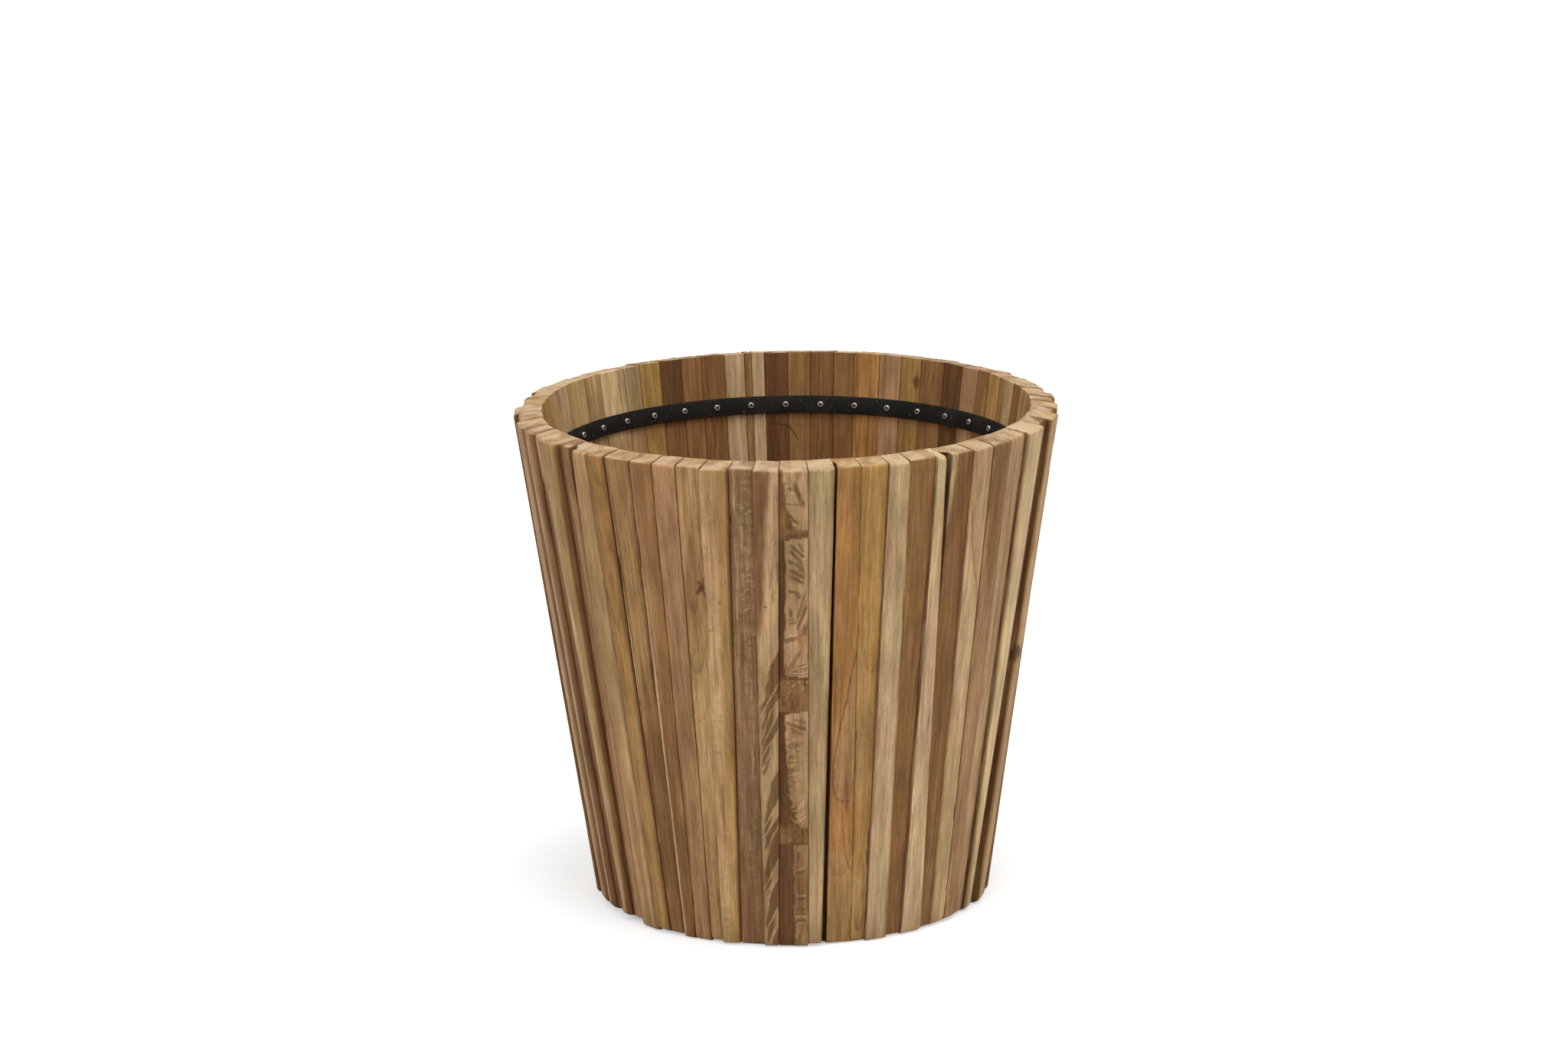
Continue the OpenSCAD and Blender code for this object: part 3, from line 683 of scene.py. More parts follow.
def work_gouged(face):
    """Torn and gouged: a hollow down the near side, brown wood darkened with painted shade, a raised
    pale skin beside it that is broken off three times, painted shadow under two breaks, and tool marks."""
    rng = face.rng
    down = face.down()
    share = face.across / face.width
    edge = np.interp(
        down,
        [0, 0.03, 0.06, 0.08, 0.1, 0.114, 0.123, 0.136, 0.142, 0.2, 0.28, 0.36, 0.42, 0.427, 0.494, 0.501,
         0.57, 0.64, 0.69, 0.73, 0.745, 0.772, 0.778, 0.9, 1],
        [0.12, 0.17, 0.2, 0.3, 0.45, 0.5, 1.1, 1.1, 0.2, 0.25, 0.22, 0.19, 0.2, 1.1, 1.1, 0.2,
         0.25, 0.3, 0.4, 0.62, 1.1, 1.1, 0.5, 0.53, 0.56],
    )
    torn = step(down, 0.09, 0.11) * step(down, 0.13, 0.124)
    torn = torn + step(down, 0.65, 0.7) * step(down, 0.76, 0.74)
    ragged = wander(rng, face.up, 0.0022) * 0.5 + wander(rng, face.up + face.across, 0.005) * 0.7
    edge = edge + torn * ragged * 0.3 + wander(rng, face.up, 0.007) * 0.03
    inside = step(share, edge + 0.02, edge - 0.03)
    scoop = np.interp(
        down,
        [0, 0.05, 0.12, 0.134, 0.142, 0.42, 0.432, 0.494, 0.506, 0.66, 0.745, 0.77, 0.782, 1],
        [0.3, 0.8, 1.4, 2.6, 1.9, 2.1, 2.4, 1.2, 1.7, 1.7, 1.5, 2.0, 1.5, 1.7],
    )
    slope = 1.3 - 0.5 * np.clip(share / np.maximum(edge, 0.12), 0, 1)
    face.cut = inside * scoop * slope * MM
    hollow = inside * step(edge, 0.9, 0.6)
    face.brown = inside * (0.88 + 0.12 * wander(rng, face.up, 0.02))
    block = inside * step(edge, 0.85, 1.05)
    crumbs = wander(rng, face.up + 0.4 * face.across, 0.0021)
    crumbs = crumbs * wander(rng, face.across - 0.5 * face.up, 0.0024)
    face.lines.append(("rose", (0.35 + 0.45 * step(down, 0.6, 0.74)) * (1 - inside)))
    face.lines.append(("russet", step(down, 0.66, 0.74) * (1 - inside) * 0.3))
    face.lines.append(("russet", (face.spot(0.85, 0.865, 9, 16) + face.spot(0.4, 0.72, 7, 24)) * 0.8))
    face.light = np.full(face.up.shape, 0.36) * (1 - inside) * step(down, 0.8, 0.5)
    for across, at, angle, long, wide, much in GOUGES:
        deep = 0.8 + 0.3 * (wide > 2) if much > 0 else 0
        broad = wide * (1.5 if much > 0 else 1.1)
        face.stroke(across, at, angle, long, broad, deep, max(much, 0), max(-much, 0))
    for at, deep in ((0.136, 2.0), (0.429, 2.3), (0.773, 1.8)):
        face.stroke(0.15, at + rng.uniform(-0.002, 0.002), 90, 40, 3.2, deep, 1)
    for _ in range(52):
        face.stroke(rng.uniform(0.18, 0.5), rng.uniform(0.54, 0.67), rng.uniform(78, 100),
                    rng.uniform(3, 14), rng.uniform(1.1, 1.9), 0.3, rng.uniform(0.5, 0.9))
    for _ in range(16):
        face.stroke(rng.uniform(0.2, 0.6), rng.uniform(0.54, 0.67), rng.uniform(78, 100),
                    rng.uniform(3, 8), rng.uniform(1.1, 1.4), 0, 0, 0.6)
    for _ in range(16):
        face.stroke(rng.uniform(0.5, 0.8), rng.uniform(0.67, 0.735), rng.uniform(22, 48),
                    rng.uniform(6, 14), rng.uniform(1.2, 2), 0, 0, 0.8)
        face.stroke(rng.uniform(0.2, 0.9), rng.uniform(0.432, 0.45), rng.uniform(40, 110),
                    rng.uniform(1.5, 5), rng.uniform(1.2, 2), 0, 0, 0.7)
        face.stroke(rng.uniform(0.25, 0.55), rng.uniform(0.26, 0.31), rng.uniform(50, 100),
                    rng.uniform(2, 6), 1.3, 0.2, 0.5)
    face.after.append(("pale", face.spot(0.82, 0.62, 4, 26) * 0.5))
    face.after.append(("russet", block * 0.4))
    upper = block * step(down, 0.47, 0.44) * step(down, 0.15, 0.3) + 0.3 * block
    face.after.append(("pale", upper * step(crumbs, 0.3, 0.6) * 0.5))
    face.after.append(("umber", block * step(-crumbs, 0.2, 0.5) * 0.5))
    # The hollow is darkened with umber, and with dirt towards its deep near edge: brown wood and painted
    # shade.
    face.after.append(("umber", hollow * 0.7))
    face.after.append(("dirt", hollow * (0.2 + 0.6 * step(share, 0.24, 0.02)) * step(down, 0.1, 0.3)))
    # Thin dark lines at the two upper steps where the skin breaks off: painted shadow under each step.
    upper_break_shadow = step(np.abs(down - 0.1315) * face.length, 0.004, 0.001) * step(share, 0.3, 0.7)
    face.after.append(("umber", upper_break_shadow * 0.6))
    middle_break_shadow = step(np.abs(down - 0.427) * face.length, 0.0035, 0.001)
    face.after.append(("umber", middle_break_shadow * 0.7))
    face.after.append(("amber", (face.spot(0.14, 0.1, 4, 16) + face.spot(0.74, 0.345, 3, 9)
                                 + face.spot(0.25, 0.402, 2, 7)) * 0.7))


def work_cross_sawn(face, strength=1.0):
    """Rough from the saw: fine lines along it and short marks straight across."""
    rng = face.rng
    upper = 1 - 0.75 * step(face.down(), 0.34, 0.55)
    blocks = wander(rng, face.up, 0.0042) * (0.6 + 0.4 * wander(rng, face.across, 0.006))
    face.light = step(blocks, 0.2, 0.7) * upper * 0.3 * strength
    face.brown = step(-blocks, 0.2, 0.7) * upper * 0.3 * strength
    face.cut = np.abs(wander(rng, face.up, 0.0042)) * (0.2 + 0.3 * upper) * MM * strength
    for _ in range(70):
        at = rng.uniform(0.01, 0.98)
        much = (0.8 if at < 0.45 else 0.35) * strength
        face.stroke(rng.uniform(0.05, 0.75), at, rng.uniform(86, 94), rng.uniform(3, 11),
                    rng.uniform(1.1, 1.9), 0.4 * strength, much)
    for _ in range(46):
        at = rng.uniform(0.01, 0.98)
        much = (0.8 if at < 0.45 else 0.3) * strength
        face.stroke(rng.uniform(0.3, 0.85), at, rng.uniform(87, 93), rng.uniform(2, 6),
                    rng.uniform(1.2, 2.2), 0, 0, much)
    for across in (0.22, 0.5, 0.74):
        for _ in range(10):
            face.stroke(across + rng.uniform(-0.04, 0.04), rng.uniform(0.06, 0.9) ** 1.4, 0,
                        rng.uniform(12, 50), 1.2, 0.15 * strength, 0, 0.6 * strength)
            face.stroke(across + rng.uniform(0.02, 0.1), rng.uniform(0.1, 1), 0,
                        rng.uniform(15, 60), 1.3, 0.25 * strength, 0.45 * strength)


def work_faint_sawn(face):
    """A lighter, flatter near half with faint marks across it, and a few worm holes."""
    rng = face.rng
    share = face.across / face.width
    half = step(share, 0.6, 0.5)
    face.light = half * (0.35 + 0.2 * wander(rng, face.up, 0.03))
    face.cut = step(share, 0.48, 0.58) * 1.1 * MM
    face.lines.append(("honey", step(share, 0.5, 0.62) * (0.5 + 0.2 * wander(rng, face.up, 0.05))))
    for _ in range(44):
        face.stroke(rng.uniform(0.06, 0.36), rng.uniform(0.04, 0.98), rng.uniform(84, 96),
                    rng.uniform(3, 9), rng.uniform(1.2, 2.2), 0.1, 0, 0.7)
        face.stroke(rng.uniform(0.05, 0.36), rng.uniform(0.04, 0.98), rng.uniform(84, 96),
                    rng.uniform(2, 8), rng.uniform(1.1, 1.5), 0.15, rng.uniform(0.15, 0.45))
    for at in (0.16, 0.33, 0.4, 0.52, 0.585, 0.74, 0.83):
        face.stroke(rng.uniform(0.03, 0.12), at, rng.uniform(87, 93), rng.uniform(8, 15), 1.4, 0.3,
                    rng.uniform(0.4, 0.75))
    for across, at in ((0.62, 0.19), (0.58, 0.275)):
        face.stroke(across, at, 0, 2.6, 2.2, 2, 0.9)


# Dark unplaned flames on the skip-planed stave: where each starts and ends, as shares of
# the way down its near edge, and how far over it runs
FLAMES = [
    (0.448, 0.51, 1.2), (0.516, 0.543, 1.2), (0.548, 0.57, 0.9), (0.577, 0.6, 1.2), (0.607, 0.62, 0.7),
    (0.634, 0.642, 0.6), (0.69, 0.746, 1.2), (0.753, 0.768, 0.75), (0.778, 0.8, 1.2), (0.806, 0.87, 1.2),
    (0.877, 0.89, 0.7), (0.91, 0.966, 1.2), (0.973, 0.998, 0.9), (1.012, 1.09, 1.2),
]


def work_skip_planed(face):
    """Planed in part: dark unplaned flames slant up to the far side, frayed below."""
    rng = face.rng
    share = face.across / face.width
    down = face.down()
    level = down + 2.1 * face.across / face.length
    level = level + 0.004 * wander(rng, face.up, 0.016) + 0.0015 * wander(rng, face.across, 0.004)
    fibre = wander(rng, level * face.length, 0.0014) * 0.6 + wander(rng, level * face.length, 0.004)
    dark = np.zeros(share.shape)
    for top, bottom, over in FLAMES:
        part = np.clip((level - top) / (bottom - top), 0, 1)
        thick = min((bottom - top) / 0.05, 1)
        left = 0.13 + rng.uniform(-0.04, 0.08) + 0.4 * thick * (1 - part) ** 1.3 + 0.1 * fibre
        soft = 0.0012
        body = step(level, top - soft, top + soft) * step(level, bottom + soft, bottom - soft)
        body = body * step(share, left - 0.03, left + 0.05) * step(share, over, over - 0.25)
        dark = np.maximum(dark, body)
    face.brown = dark * (0.92 + 0.08 * wander(rng, level * face.length, 0.0022))
    face.after.append(("umber", dark * 0.3))
    face.cut = dark * (0.4 + 0.1 * fibre) * MM
    for top, bottom, _ in FLAMES:
        for _ in range(3):
            face.stroke(rng.uniform(0.04, 0.3), bottom - rng.uniform(0.0, 0.02), rng.uniform(20, 30),
                        rng.uniform(5, 13), rng.uniform(1.1, 1.7), 0.15, 0.75)
    for _ in range(12):
        face.stroke(rng.uniform(0.6, 0.85), rng.uniform(0.05, 0.3), rng.uniform(0, 10),
                    rng.uniform(10, 40), 1.4, 0.1, 0.5)
    face.stroke(0.42, 0.28, 0, 2.2, 1.8, 2, 1)
    face.after.append(("rose", step(share, 0.16, 0.06) * step(down, 0.36, 0.4) * 0.5))
    plain = 1 - step(down, 0.36, 0.3) * step(share, 0.7 - down, 0.6 - down)
    face.light = np.maximum(face.light, 0.16 * plain)
    face.lines.append(("grey", plain * 0.3))
    face.lines.append(("cream", plain * 0.4))


def work_sawn_back(face):
    """Rough from the saw, more evenly than at the front."""
    work_cross_sawn(face, 0.6)


WORK = {
    0: work_gouged, 61: work_faint_sawn, 62: work_cross_sawn, 63: work_skip_planed,
    23: work_sawn_back, 36: work_sawn_back, 47: work_faint_sawn,
}


def chip_edges(face, many):
    """Splinters missing from the long edges of the outer face."""
    rng = face.rng
    for _ in range(many):
        edge = rng.choice([0.0, 1.0])
        face.stroke(edge, rng.uniform(0.03, 0.97), rng.uniform(-3, 3), rng.uniform(8, 42),
                    rng.uniform(1.5, 4.5), rng.uniform(0.5, 1.5), rng.uniform(0.3, 0.8))


def bevel_cut(piece, i):
    """Depth worn off stave i along its long edges, over its outer face."""
    cut = np.zeros(piece.across.shape)
    for stave, side, foot_w, rim_w, deep in BEVELS:
        if stave != i:
            continue
        wide = (foot_w + (rim_w - foot_w) * piece.rows / piece.length) * MM
        from_edge = piece.across if side == "near" else piece.width - piece.across
        share = np.clip(1 - from_edge / np.maximum(wide, 0.4 * MM), 0, 1)
        cut = np.maximum(cut, share**1.5 * deep * MM)
    return cut


def tone_of(tones, name):
    """A named tone of wood as an array."""
    return np.array(getattr(tones, name))


def stave_tones(i, tones, piece):
    """The tone at each place on a stave, the same inside and out, before it is worked."""
    rng = np.random.default_rng(TONE_SEED + i)
    base = tone_of(tones, STAVES[i][3]) * rng.uniform(0.96, 1.04)
    tone = np.broadcast_to(base, piece.across.shape + (3,)).copy()
    up = piece.rows / piece.length
    share = piece.across / piece.width
    for name, much, edges in BANDS.get(i, []):
        heights, near, far = zip(*edges)
        ragged = 0.05 * wander(rng, piece.rows, 0.03) + 0.025 * wander(rng, piece.rows, 0.008)
        low = np.interp(up, heights, near) + ragged
        high = np.interp(up, heights, far) + ragged
        low = np.where(np.interp(up, heights, near) <= 0, -1, low)
        high = np.where(np.interp(up, heights, far) >= 1, 2, high)
        ends = step(up, heights[0] - 0.02, heights[0] + 0.02) if heights[0] > 0 else 1
        if heights[-1] < 1:
            ends = ends * step(up, heights[-1] + 0.02, heights[-1] - 0.02)
        band = step(share, low - 0.06, low + 0.06) * step(share, high + 0.06, high - 0.06)
        band = (band * ends * much)[..., None]
        tone = tone * (1 - band) + tone_of(tones, name) * band
    return tone


def stave_rows(foot_round, rim_round, length, spacing):
    """Places along a stave, close together where its ends are rounded."""
    bow = 1 - np.cos(np.radians(END_TURNS))
    foot, rim = foot_round * bow, rim_round * bow
    n = round((length - foot[-1] - rim[-1]) / spacing)
    middle = np.linspace(foot[-1], length - rim[-1], n + 1)[1:-1]
    return np.concatenate([foot, middle, length - rim[::-1]])


def end_drop(s, length, foot_round, rim_round):
    """How far the outer face falls away over the rounded foot and rim."""
    drop = np.zeros(s.shape)
    for left, r in ((s, foot_round), (length - s, rim_round)):
        part = np.clip(1 - left / r, 0, 1)
        drop = np.maximum(drop, r * (1 - np.sqrt(np.maximum(1 - part * part, 0))))
    return drop


def painted(layers, tone, tones):
    """A face's tone with fine lines and spots laid over it."""
    for name, much in layers:
        tone = tone + (tone_of(tones, name) - tone) * much[..., None]
    return tone


def work_stave(i, piece, rng):
    """The inner and outer face of stave i after all work on them, and the depth worn off
    its long edges."""
    faces = {"outer": Face(piece, rng), "inner": Face(piece, rng)}
    face = faces["outer"]
    if i in WORK:
        WORK[i](face)
    chip_edges(face, rng.integers(1, 5) + 5 * (i in ROUGH_STAVES))
    bevel = bevel_cut(piece, i)
    # Worn edges turn brown, and umber where cut deepest: painted shade in the grooves between the staves.
    face.after.append(("brown", step(bevel, 0, 0.6 * MM) * 0.55))
    face.after.append(("umber", step(bevel, 0.8 * MM, 2.2 * MM) * 0.6))
    for side, *line in LINES.get(i, []):
        faces[side].line(*line)
    return faces, bevel


def outer_tone(face, tone, tones):
    """A stave's tone over its outer face: lines, bare brown and pale wood, then stains and painted shade."""
    brown = face.brown[..., None]
    light = face.light[..., None] * (1 - 0.8 * brown)
    outer = painted(face.lines, tone, tones)
    outer = outer * (1 - brown) + (tone_of(tones, "brown") * 0.66 + tone * 0.1) * brown
    outer = outer * (1 - light) + (tone_of(tones, "pale") * 0.75 + tone * 0.3) * light
    return painted(face.after, outer, tones)


def cut_ends(i, piece, on_end, fine, rng):
    """Places along stave i with its top cut a little off square and its foot short."""
    share = piece.a / piece.width[piece.k] - 0.5
    slant = share * rng.uniform(-0.8, 0.8) + 0.4 + 1.5 * rng.uniform(0, 1) ** 2
    rough_top = (rng.uniform(0, 1, piece.s.shape) * (0.5 if fine else 0.2) + slant) * MM
    s = piece.s - np.where(piece.s > piece.length / 2, on_end * rough_top, 0)
    short = rng.uniform(0, 2.4) * (i % 3 > 0) * MM + share * rng.uniform(-0.6, 0.6) * MM
    short = short + SHORT_FEET.get(i, 0) * MM
    return s + np.maximum(short, 0) * step(piece.s, 12 * MM, 0)


def joint_sides(i, piece, wall, turn, d, s, end, rng):
    """Where the near and far sides of stave i lie: close where they are glued, a little
    open and worn at the faces and ends."""
    x, z = wall.side_view(d, s)
    glued = step(piece.d, 2 * MM, 3.5 * MM) * step(piece.depth - piece.d, 2.8 * MM, 4.4 * MM)
    glued = glued * step(end, 1.5 * MM, 3 * MM)
    joint = wall.size.joint_gap / 2 * (1 - 0.9 * glued)
    low = wall.joint_line(i, turn, x, z) + joint
    high = wall.joint_line(i + 1, turn, x, z) - joint
    if i in OPEN_GAPS:
        rim_gap, foot_gap = OPEN_GAPS[i]
        gap = np.maximum(foot_gap + (rim_gap - foot_gap) * s / wall.length, 0) * MM
        floor = piece.depth - wall.size.gap_depth
        low = low + gap * step(d, floor - 0.3 * MM, floor + 0.5 * MM)
    outward = np.clip(piece.d / piece.depth, 0, 1) ** 3
    worn = np.abs(wander(rng, s, 0.035)) * 0.3 + np.abs(wander(rng, s, 0.007)) * 0.12
    worn = worn * rng.uniform(0.3, 1.2)
    corner = step(end, 8 * MM, 0.5 * MM) * rng.uniform(0.0, 0.7) * outward
    corner = corner + step(end, 1.2 * MM, 0.2 * MM) * rng.uniform(0.0, 0.25)
    worn = (worn * outward + corner) * MM * (1 - glued)
    return low + worn, high - worn


def stave_marks(piece, on_end, rng):
    """Where worn edges, dirt and painted light show: along the outer edges, on the cut ends,
    in the joints.
    """
    side = np.minimum(piece.a, piece.width[piece.k] - piece.a)
    below = piece.depth - piece.d
    # at_edge: the pale outer edges, partly rubbing and partly painted highlight on the arrises.
    at_edge = np.exp(-side / (1.6 * MM)) * np.exp(-below / (1.3 * MM))
    on_side = step(side, 0.6 * MM, 0.1 * MM)
    # in_joint: the stave's sides inside its joints, darkened with dirt and painted shade, plus dark joint
    # lines on the cut ends and the inner face.
    in_joint = on_side * step(below, 0.4 * MM, 2.0 * MM) * step(piece.d, 0.4 * MM, 2 * MM)
    in_joint = np.maximum(in_joint, on_end * step(side, 0.7 * MM, 0.15 * MM) * rng.uniform(0.1, 0.8))
    inner_line = step(side, 0.9 * MM, 0.2 * MM) * step(piece.d, 1.2 * MM, 0.4 * MM)
    in_joint = np.maximum(in_joint, inner_line * rng.uniform(0.2, 0.8))
    return np.stack([at_edge, on_end, in_joint], -1)


def build_stave(i, wall, tones, material):
    """One stave, cut to its joints, rounded, worked and coloured."""
    sizes = wall.size
    rng = np.random.default_rng(STAVE_SEED + i)
    _, _, proud, _, sawn_as, rings = STAVES[i]
    depth = sizes.stave_t + proud * MM
    fine = i in WORK or i in LINES
    along_step, across_step = FINE_NET if fine else PLAIN_NET
    rim_round = sizes.rim_round * rng.uniform(0.5, 1.15)
    foot_round = sizes.foot_round * rng.uniform(0.7, 1.3)
    edge_round = sizes.edge_round * rng.uniform(0.6, 1.6)
    rows = stave_rows(foot_round, rim_round, wall.length, along_step)
    turn = wall.stave_angle(i)
    x, z = wall.side_view(depth / 2, rows)
    near_line = wall.joint_line(i, turn, x, z) + sizes.joint_gap / 2
    far_line = wall.joint_line(i + 1, turn, x, z) - sizes.joint_gap / 2
    layers = [depth - 3 * MM, depth - 4.5 * MM]
    if i in OPEN_GAPS:
        layers += [depth - sizes.gap_depth - 0.4 * MM, depth - sizes.gap_depth + 0.6 * MM]
    piece = Sawn(far_line - near_line, depth, wall.length, rows, edge_round, 0.7 * MM,
                 across_step, layers)

    faces, bevel = work_stave(i, piece, rng)
    inside = stave_tones(i, tones, piece)
    outside = outer_tone(faces["outer"], inside, tones)[piece.i, piece.k]
    inside = painted(faces["inner"].lines, inside, tones)[piece.i, piece.k]

    lift = wander(rng, piece.rows, 0.09)
    cut = (faces["outer"].cut + bevel + (0.24 + 0.1 * lift)[None, :] * MM)[piece.i, piece.k]
    drop = end_drop(piece.s, wall.length, foot_round, rim_round)
    depth_share = np.clip(piece.d / depth, 0, 1)
    d = piece.d - depth_share * np.minimum(cut + drop, depth - 2 * MM)
    d = d + step(piece.d, 3 * MM, 0) * (rng.uniform(0, 0.8) + 0.15 * lift[piece.k]) * MM
    end = np.minimum(piece.s, wall.length - piece.s)
    on_end = step(end, 1.6 * MM, 0.1 * MM)
    s = cut_ends(i, piece, on_end, fine, rng)
    low, high = joint_sides(i, piece, wall, turn, d, s, end, rng)
    width = piece.width[piece.k]
    y = low + (high - low) * piece.a / width
    x, z = wall.side_view(d, s)
    stave = net_piece(f"stave_{i + 1:02d}", wall.turned(turn, x, y, z), piece.quads(),
                      [f"staves_{i // 2 + 1:02d}"], material)

    keep(stave, "trunk", "FLOAT_VECTOR", place_in_trunk(rng, sawn_as, y, d - depth, s))
    across, up, knot_size = KNOTS.get(i, NO_KNOT)
    keep(stave, "knot", "FLOAT_VECTOR", np.stack(
        [piece.a - across * width, s - up * wall.length, np.full(s.shape, knot_size * MM)], -1))
    blend = step(depth_share, 0.8, 0.97)[:, None]
    ring_strength = np.full((len(s), 1), rings)
    tone = np.concatenate([inside + (outside - inside) * blend, ring_strength], -1)
    keep(stave, "tone", "FLOAT_COLOR", tone)
    keep(stave, "marks", "FLOAT_VECTOR", stave_marks(piece, on_end, rng))


# ----------------------------------------------------------------------- materials


class Nodes:
    """Adds and links nodes in one tree, left to right."""

    def __init__(self, tree):
        self.tree = tree
        self.column = 0

    def add(self, kind, inputs=(), **settings):
        node = self.tree.nodes.new(kind)
        node.location = (self.column * 180, 0)
        self.column += 1
        for name, value in settings.items():
            setattr(node, name, value)
        for key, value in dict(inputs).items():
            self.feed(node.inputs[key], value)
        return node

    def feed(self, socket, value):
        if isinstance(value, bpy.types.NodeSocket):
            self.tree.links.new(value, socket)
        else:
            socket.default_value = value

    def math(self, operation, a, b=0.0, clamp=False):
        return self.add("ShaderNodeMath", {0: a, 1: b}, operation=operation, use_clamp=clamp).outputs[0]

    def times(self, a, b, clamp=False):
        return self.math("MULTIPLY", a, b, clamp)

    def plus(self, a, b, clamp=False):
        return self.math("ADD", a, b, clamp)

    def minus(self, a, b, clamp=False):
        return self.math("SUBTRACT", a, b, clamp)

    def vector(self, operation, a, b=(0, 0, 0)):
        out = "Value" if operation == "LENGTH" else "Vector"
        return self.add("ShaderNodeVectorMath", {0: a, 1: b}, operation=operation).outputs[out]

    def mix(self, share, a, b, blend="MIX"):
        node = self.add("ShaderNodeMix", {"Factor": share}, data_type="RGBA", blend_type=blend)
        self.feed(node.inputs[6], a)
        self.feed(node.inputs[7], b)
        return node.outputs[2]

    def grain(self, place, scale, detail=2.0):
        """Noise drawn out by a different scale, per metre, along each axis."""
        settings = {"Vector": self.vector("MULTIPLY", place, scale), "Scale": 1.0, "Detail": detail}
        return self.add("ShaderNodeTexNoise", settings).outputs[0]

    def between(self, value, low, high, to_low=0.0, to_high=1.0):
        """A value's place between low and high, smooth and kept within both."""
        node = self.add("ShaderNodeMapRange", interpolation_type="SMOOTHSTEP")
        for key, number in zip((0, 1, 2, 3, 4), (value, low, high, to_low, to_high)):
            self.feed(node.inputs[key], number)
        return node.outputs[0]

    def kept(self, name):
        """What was stored under a name at a piece's points."""
        return self.add("ShaderNodeAttribute", attribute_name=name).outputs

    def parts(self, vector):
        return self.add("ShaderNodeSeparateXYZ", {0: vector}).outputs

    def group(self, tree, **inputs):
        node = self.add("ShaderNodeGroup", node_tree=tree)
        for key, value in inputs.items():
            self.feed(node.inputs[key.replace("_", " ")], value)
        return node.outputs


def new_group(name, inputs, outputs):
    """An empty node group with named sockets, and its input and output nodes."""
    tree = bpy.data.node_groups.new(name, "ShaderNodeTree")
    for label, kind in inputs:
        tree.interface.new_socket(label, in_out="INPUT", socket_type="NodeSocket" + kind)
    for label, kind in outputs:
        tree.interface.new_socket(label, in_out="OUTPUT", socket_type="NodeSocket" + kind)
    n = Nodes(tree)
    return n, n.add("NodeGroupInput").outputs, lambda: n.add("NodeGroupOutput").inputs


def growth_rings():
    """Growth rings of a trunk, bent round a knot: how dark each ring's late wood is, and
    where the knot's core is."""
    n, given, out = new_group(
        "Growth rings",
        [("Place", "Vector"), ("Knot", "Vector"), ("Ring Width", "Float")],
        [("Late Wood", "Float"), ("Knot Core", "Float")],
    )
    flat = n.vector("MULTIPLY", given["Place"], (1, 1, 0))
    radius = n.vector("LENGTH", flat)
    slow = n.grain(given["Place"], (11, 11, 2.2), 1.0)
    quick = n.grain(given["Place"], (70, 70, 9), 2.0)
    radius = n.plus(radius, n.times(slow, 0.03))
    radius = n.plus(radius, n.times(quick, 0.0022))
    across, along, knot_size = n.parts(given["Knot"])
    swirl = n.times(n.minus(n.grain(given["Knot"], (90, 90, 0), 2.0), 0.5), 0.006)
    reach = n.math("SQRT", n.plus(
        n.math("POWER", n.plus(across, swirl), 2.0), n.math("POWER", n.times(along, 0.62), 2.0)))
    reach = n.math("DIVIDE", reach, n.plus(knot_size, 0.0001))
    bend = n.math("EXPONENT", n.times(n.math("POWER", reach, 2.0), -0.28))
    radius = n.plus(radius, n.times(n.times(bend, knot_size), 3.2))
    count = n.math("DIVIDE", radius, given["Ring Width"])
    within = n.math("FRACT", count)
    own = n.add("ShaderNodeTexWhiteNoise", {"W": n.math("FLOOR", count)}, noise_dimensions="1D").outputs[0]
    line = n.times(n.between(within, 0.72, 0.97), n.between(within, 1.0, 0.985))
    haze = n.times(within, 0.35)
    late = n.times(n.plus(line, haze), n.between(own, 0.1, 1.0, 0.35, 1.0))
    core = n.between(reach, 1.15, 0.6)
    sockets = out()
    n.feed(sockets["Late Wood"], late)
    n.feed(sockets["Knot Core"], n.times(core, n.math("GREATER_THAN", knot_size, 0.0005)))
    return n.tree


def fibres():
    """What runs along the grain: clouds, streaks, open pores and dark mineral lines."""
    n, given, out = new_group(
        "Fibres", [("Place", "Vector")],
        [("Cloud", "Float"), ("Tint", "Float"), ("Broad", "Float"), ("Thin", "Float"), ("Fine", "Float"),
         ("Pores", "Float"), ("Mineral", "Float"), ("Stain", "Float")],
    )
    figures = (
        ("Cloud", (34, 34, 12), 3.0, 0.34, 0.66), ("Tint", (21, 21, 5), 1.0, 0.32, 0.68),
        ("Broad", (120, 120, 7), 2.0, 0.3, 0.7), ("Thin", (330, 330, 16), 2.0, 0.3, 0.7),
        ("Fine", (800, 800, 42), 3.0, 0.25, 0.75), ("Pores", (1900, 1900, 90), 1.0, 0.6, 0.72),
        ("Mineral", (210, 210, 3.2), 1.0, 0.66, 0.76), ("Stain", (80, 80, 12), 3.0, 0.56, 0.68),
    )
    sockets = out()
    for number, (name, scale, detail, low, high) in enumerate(figures):
        place = n.vector("ADD", given["Place"], (0, 0, 3.7 * number))
        n.feed(sockets[name], n.between(n.grain(place, scale, detail), low, high))
    return n.tree


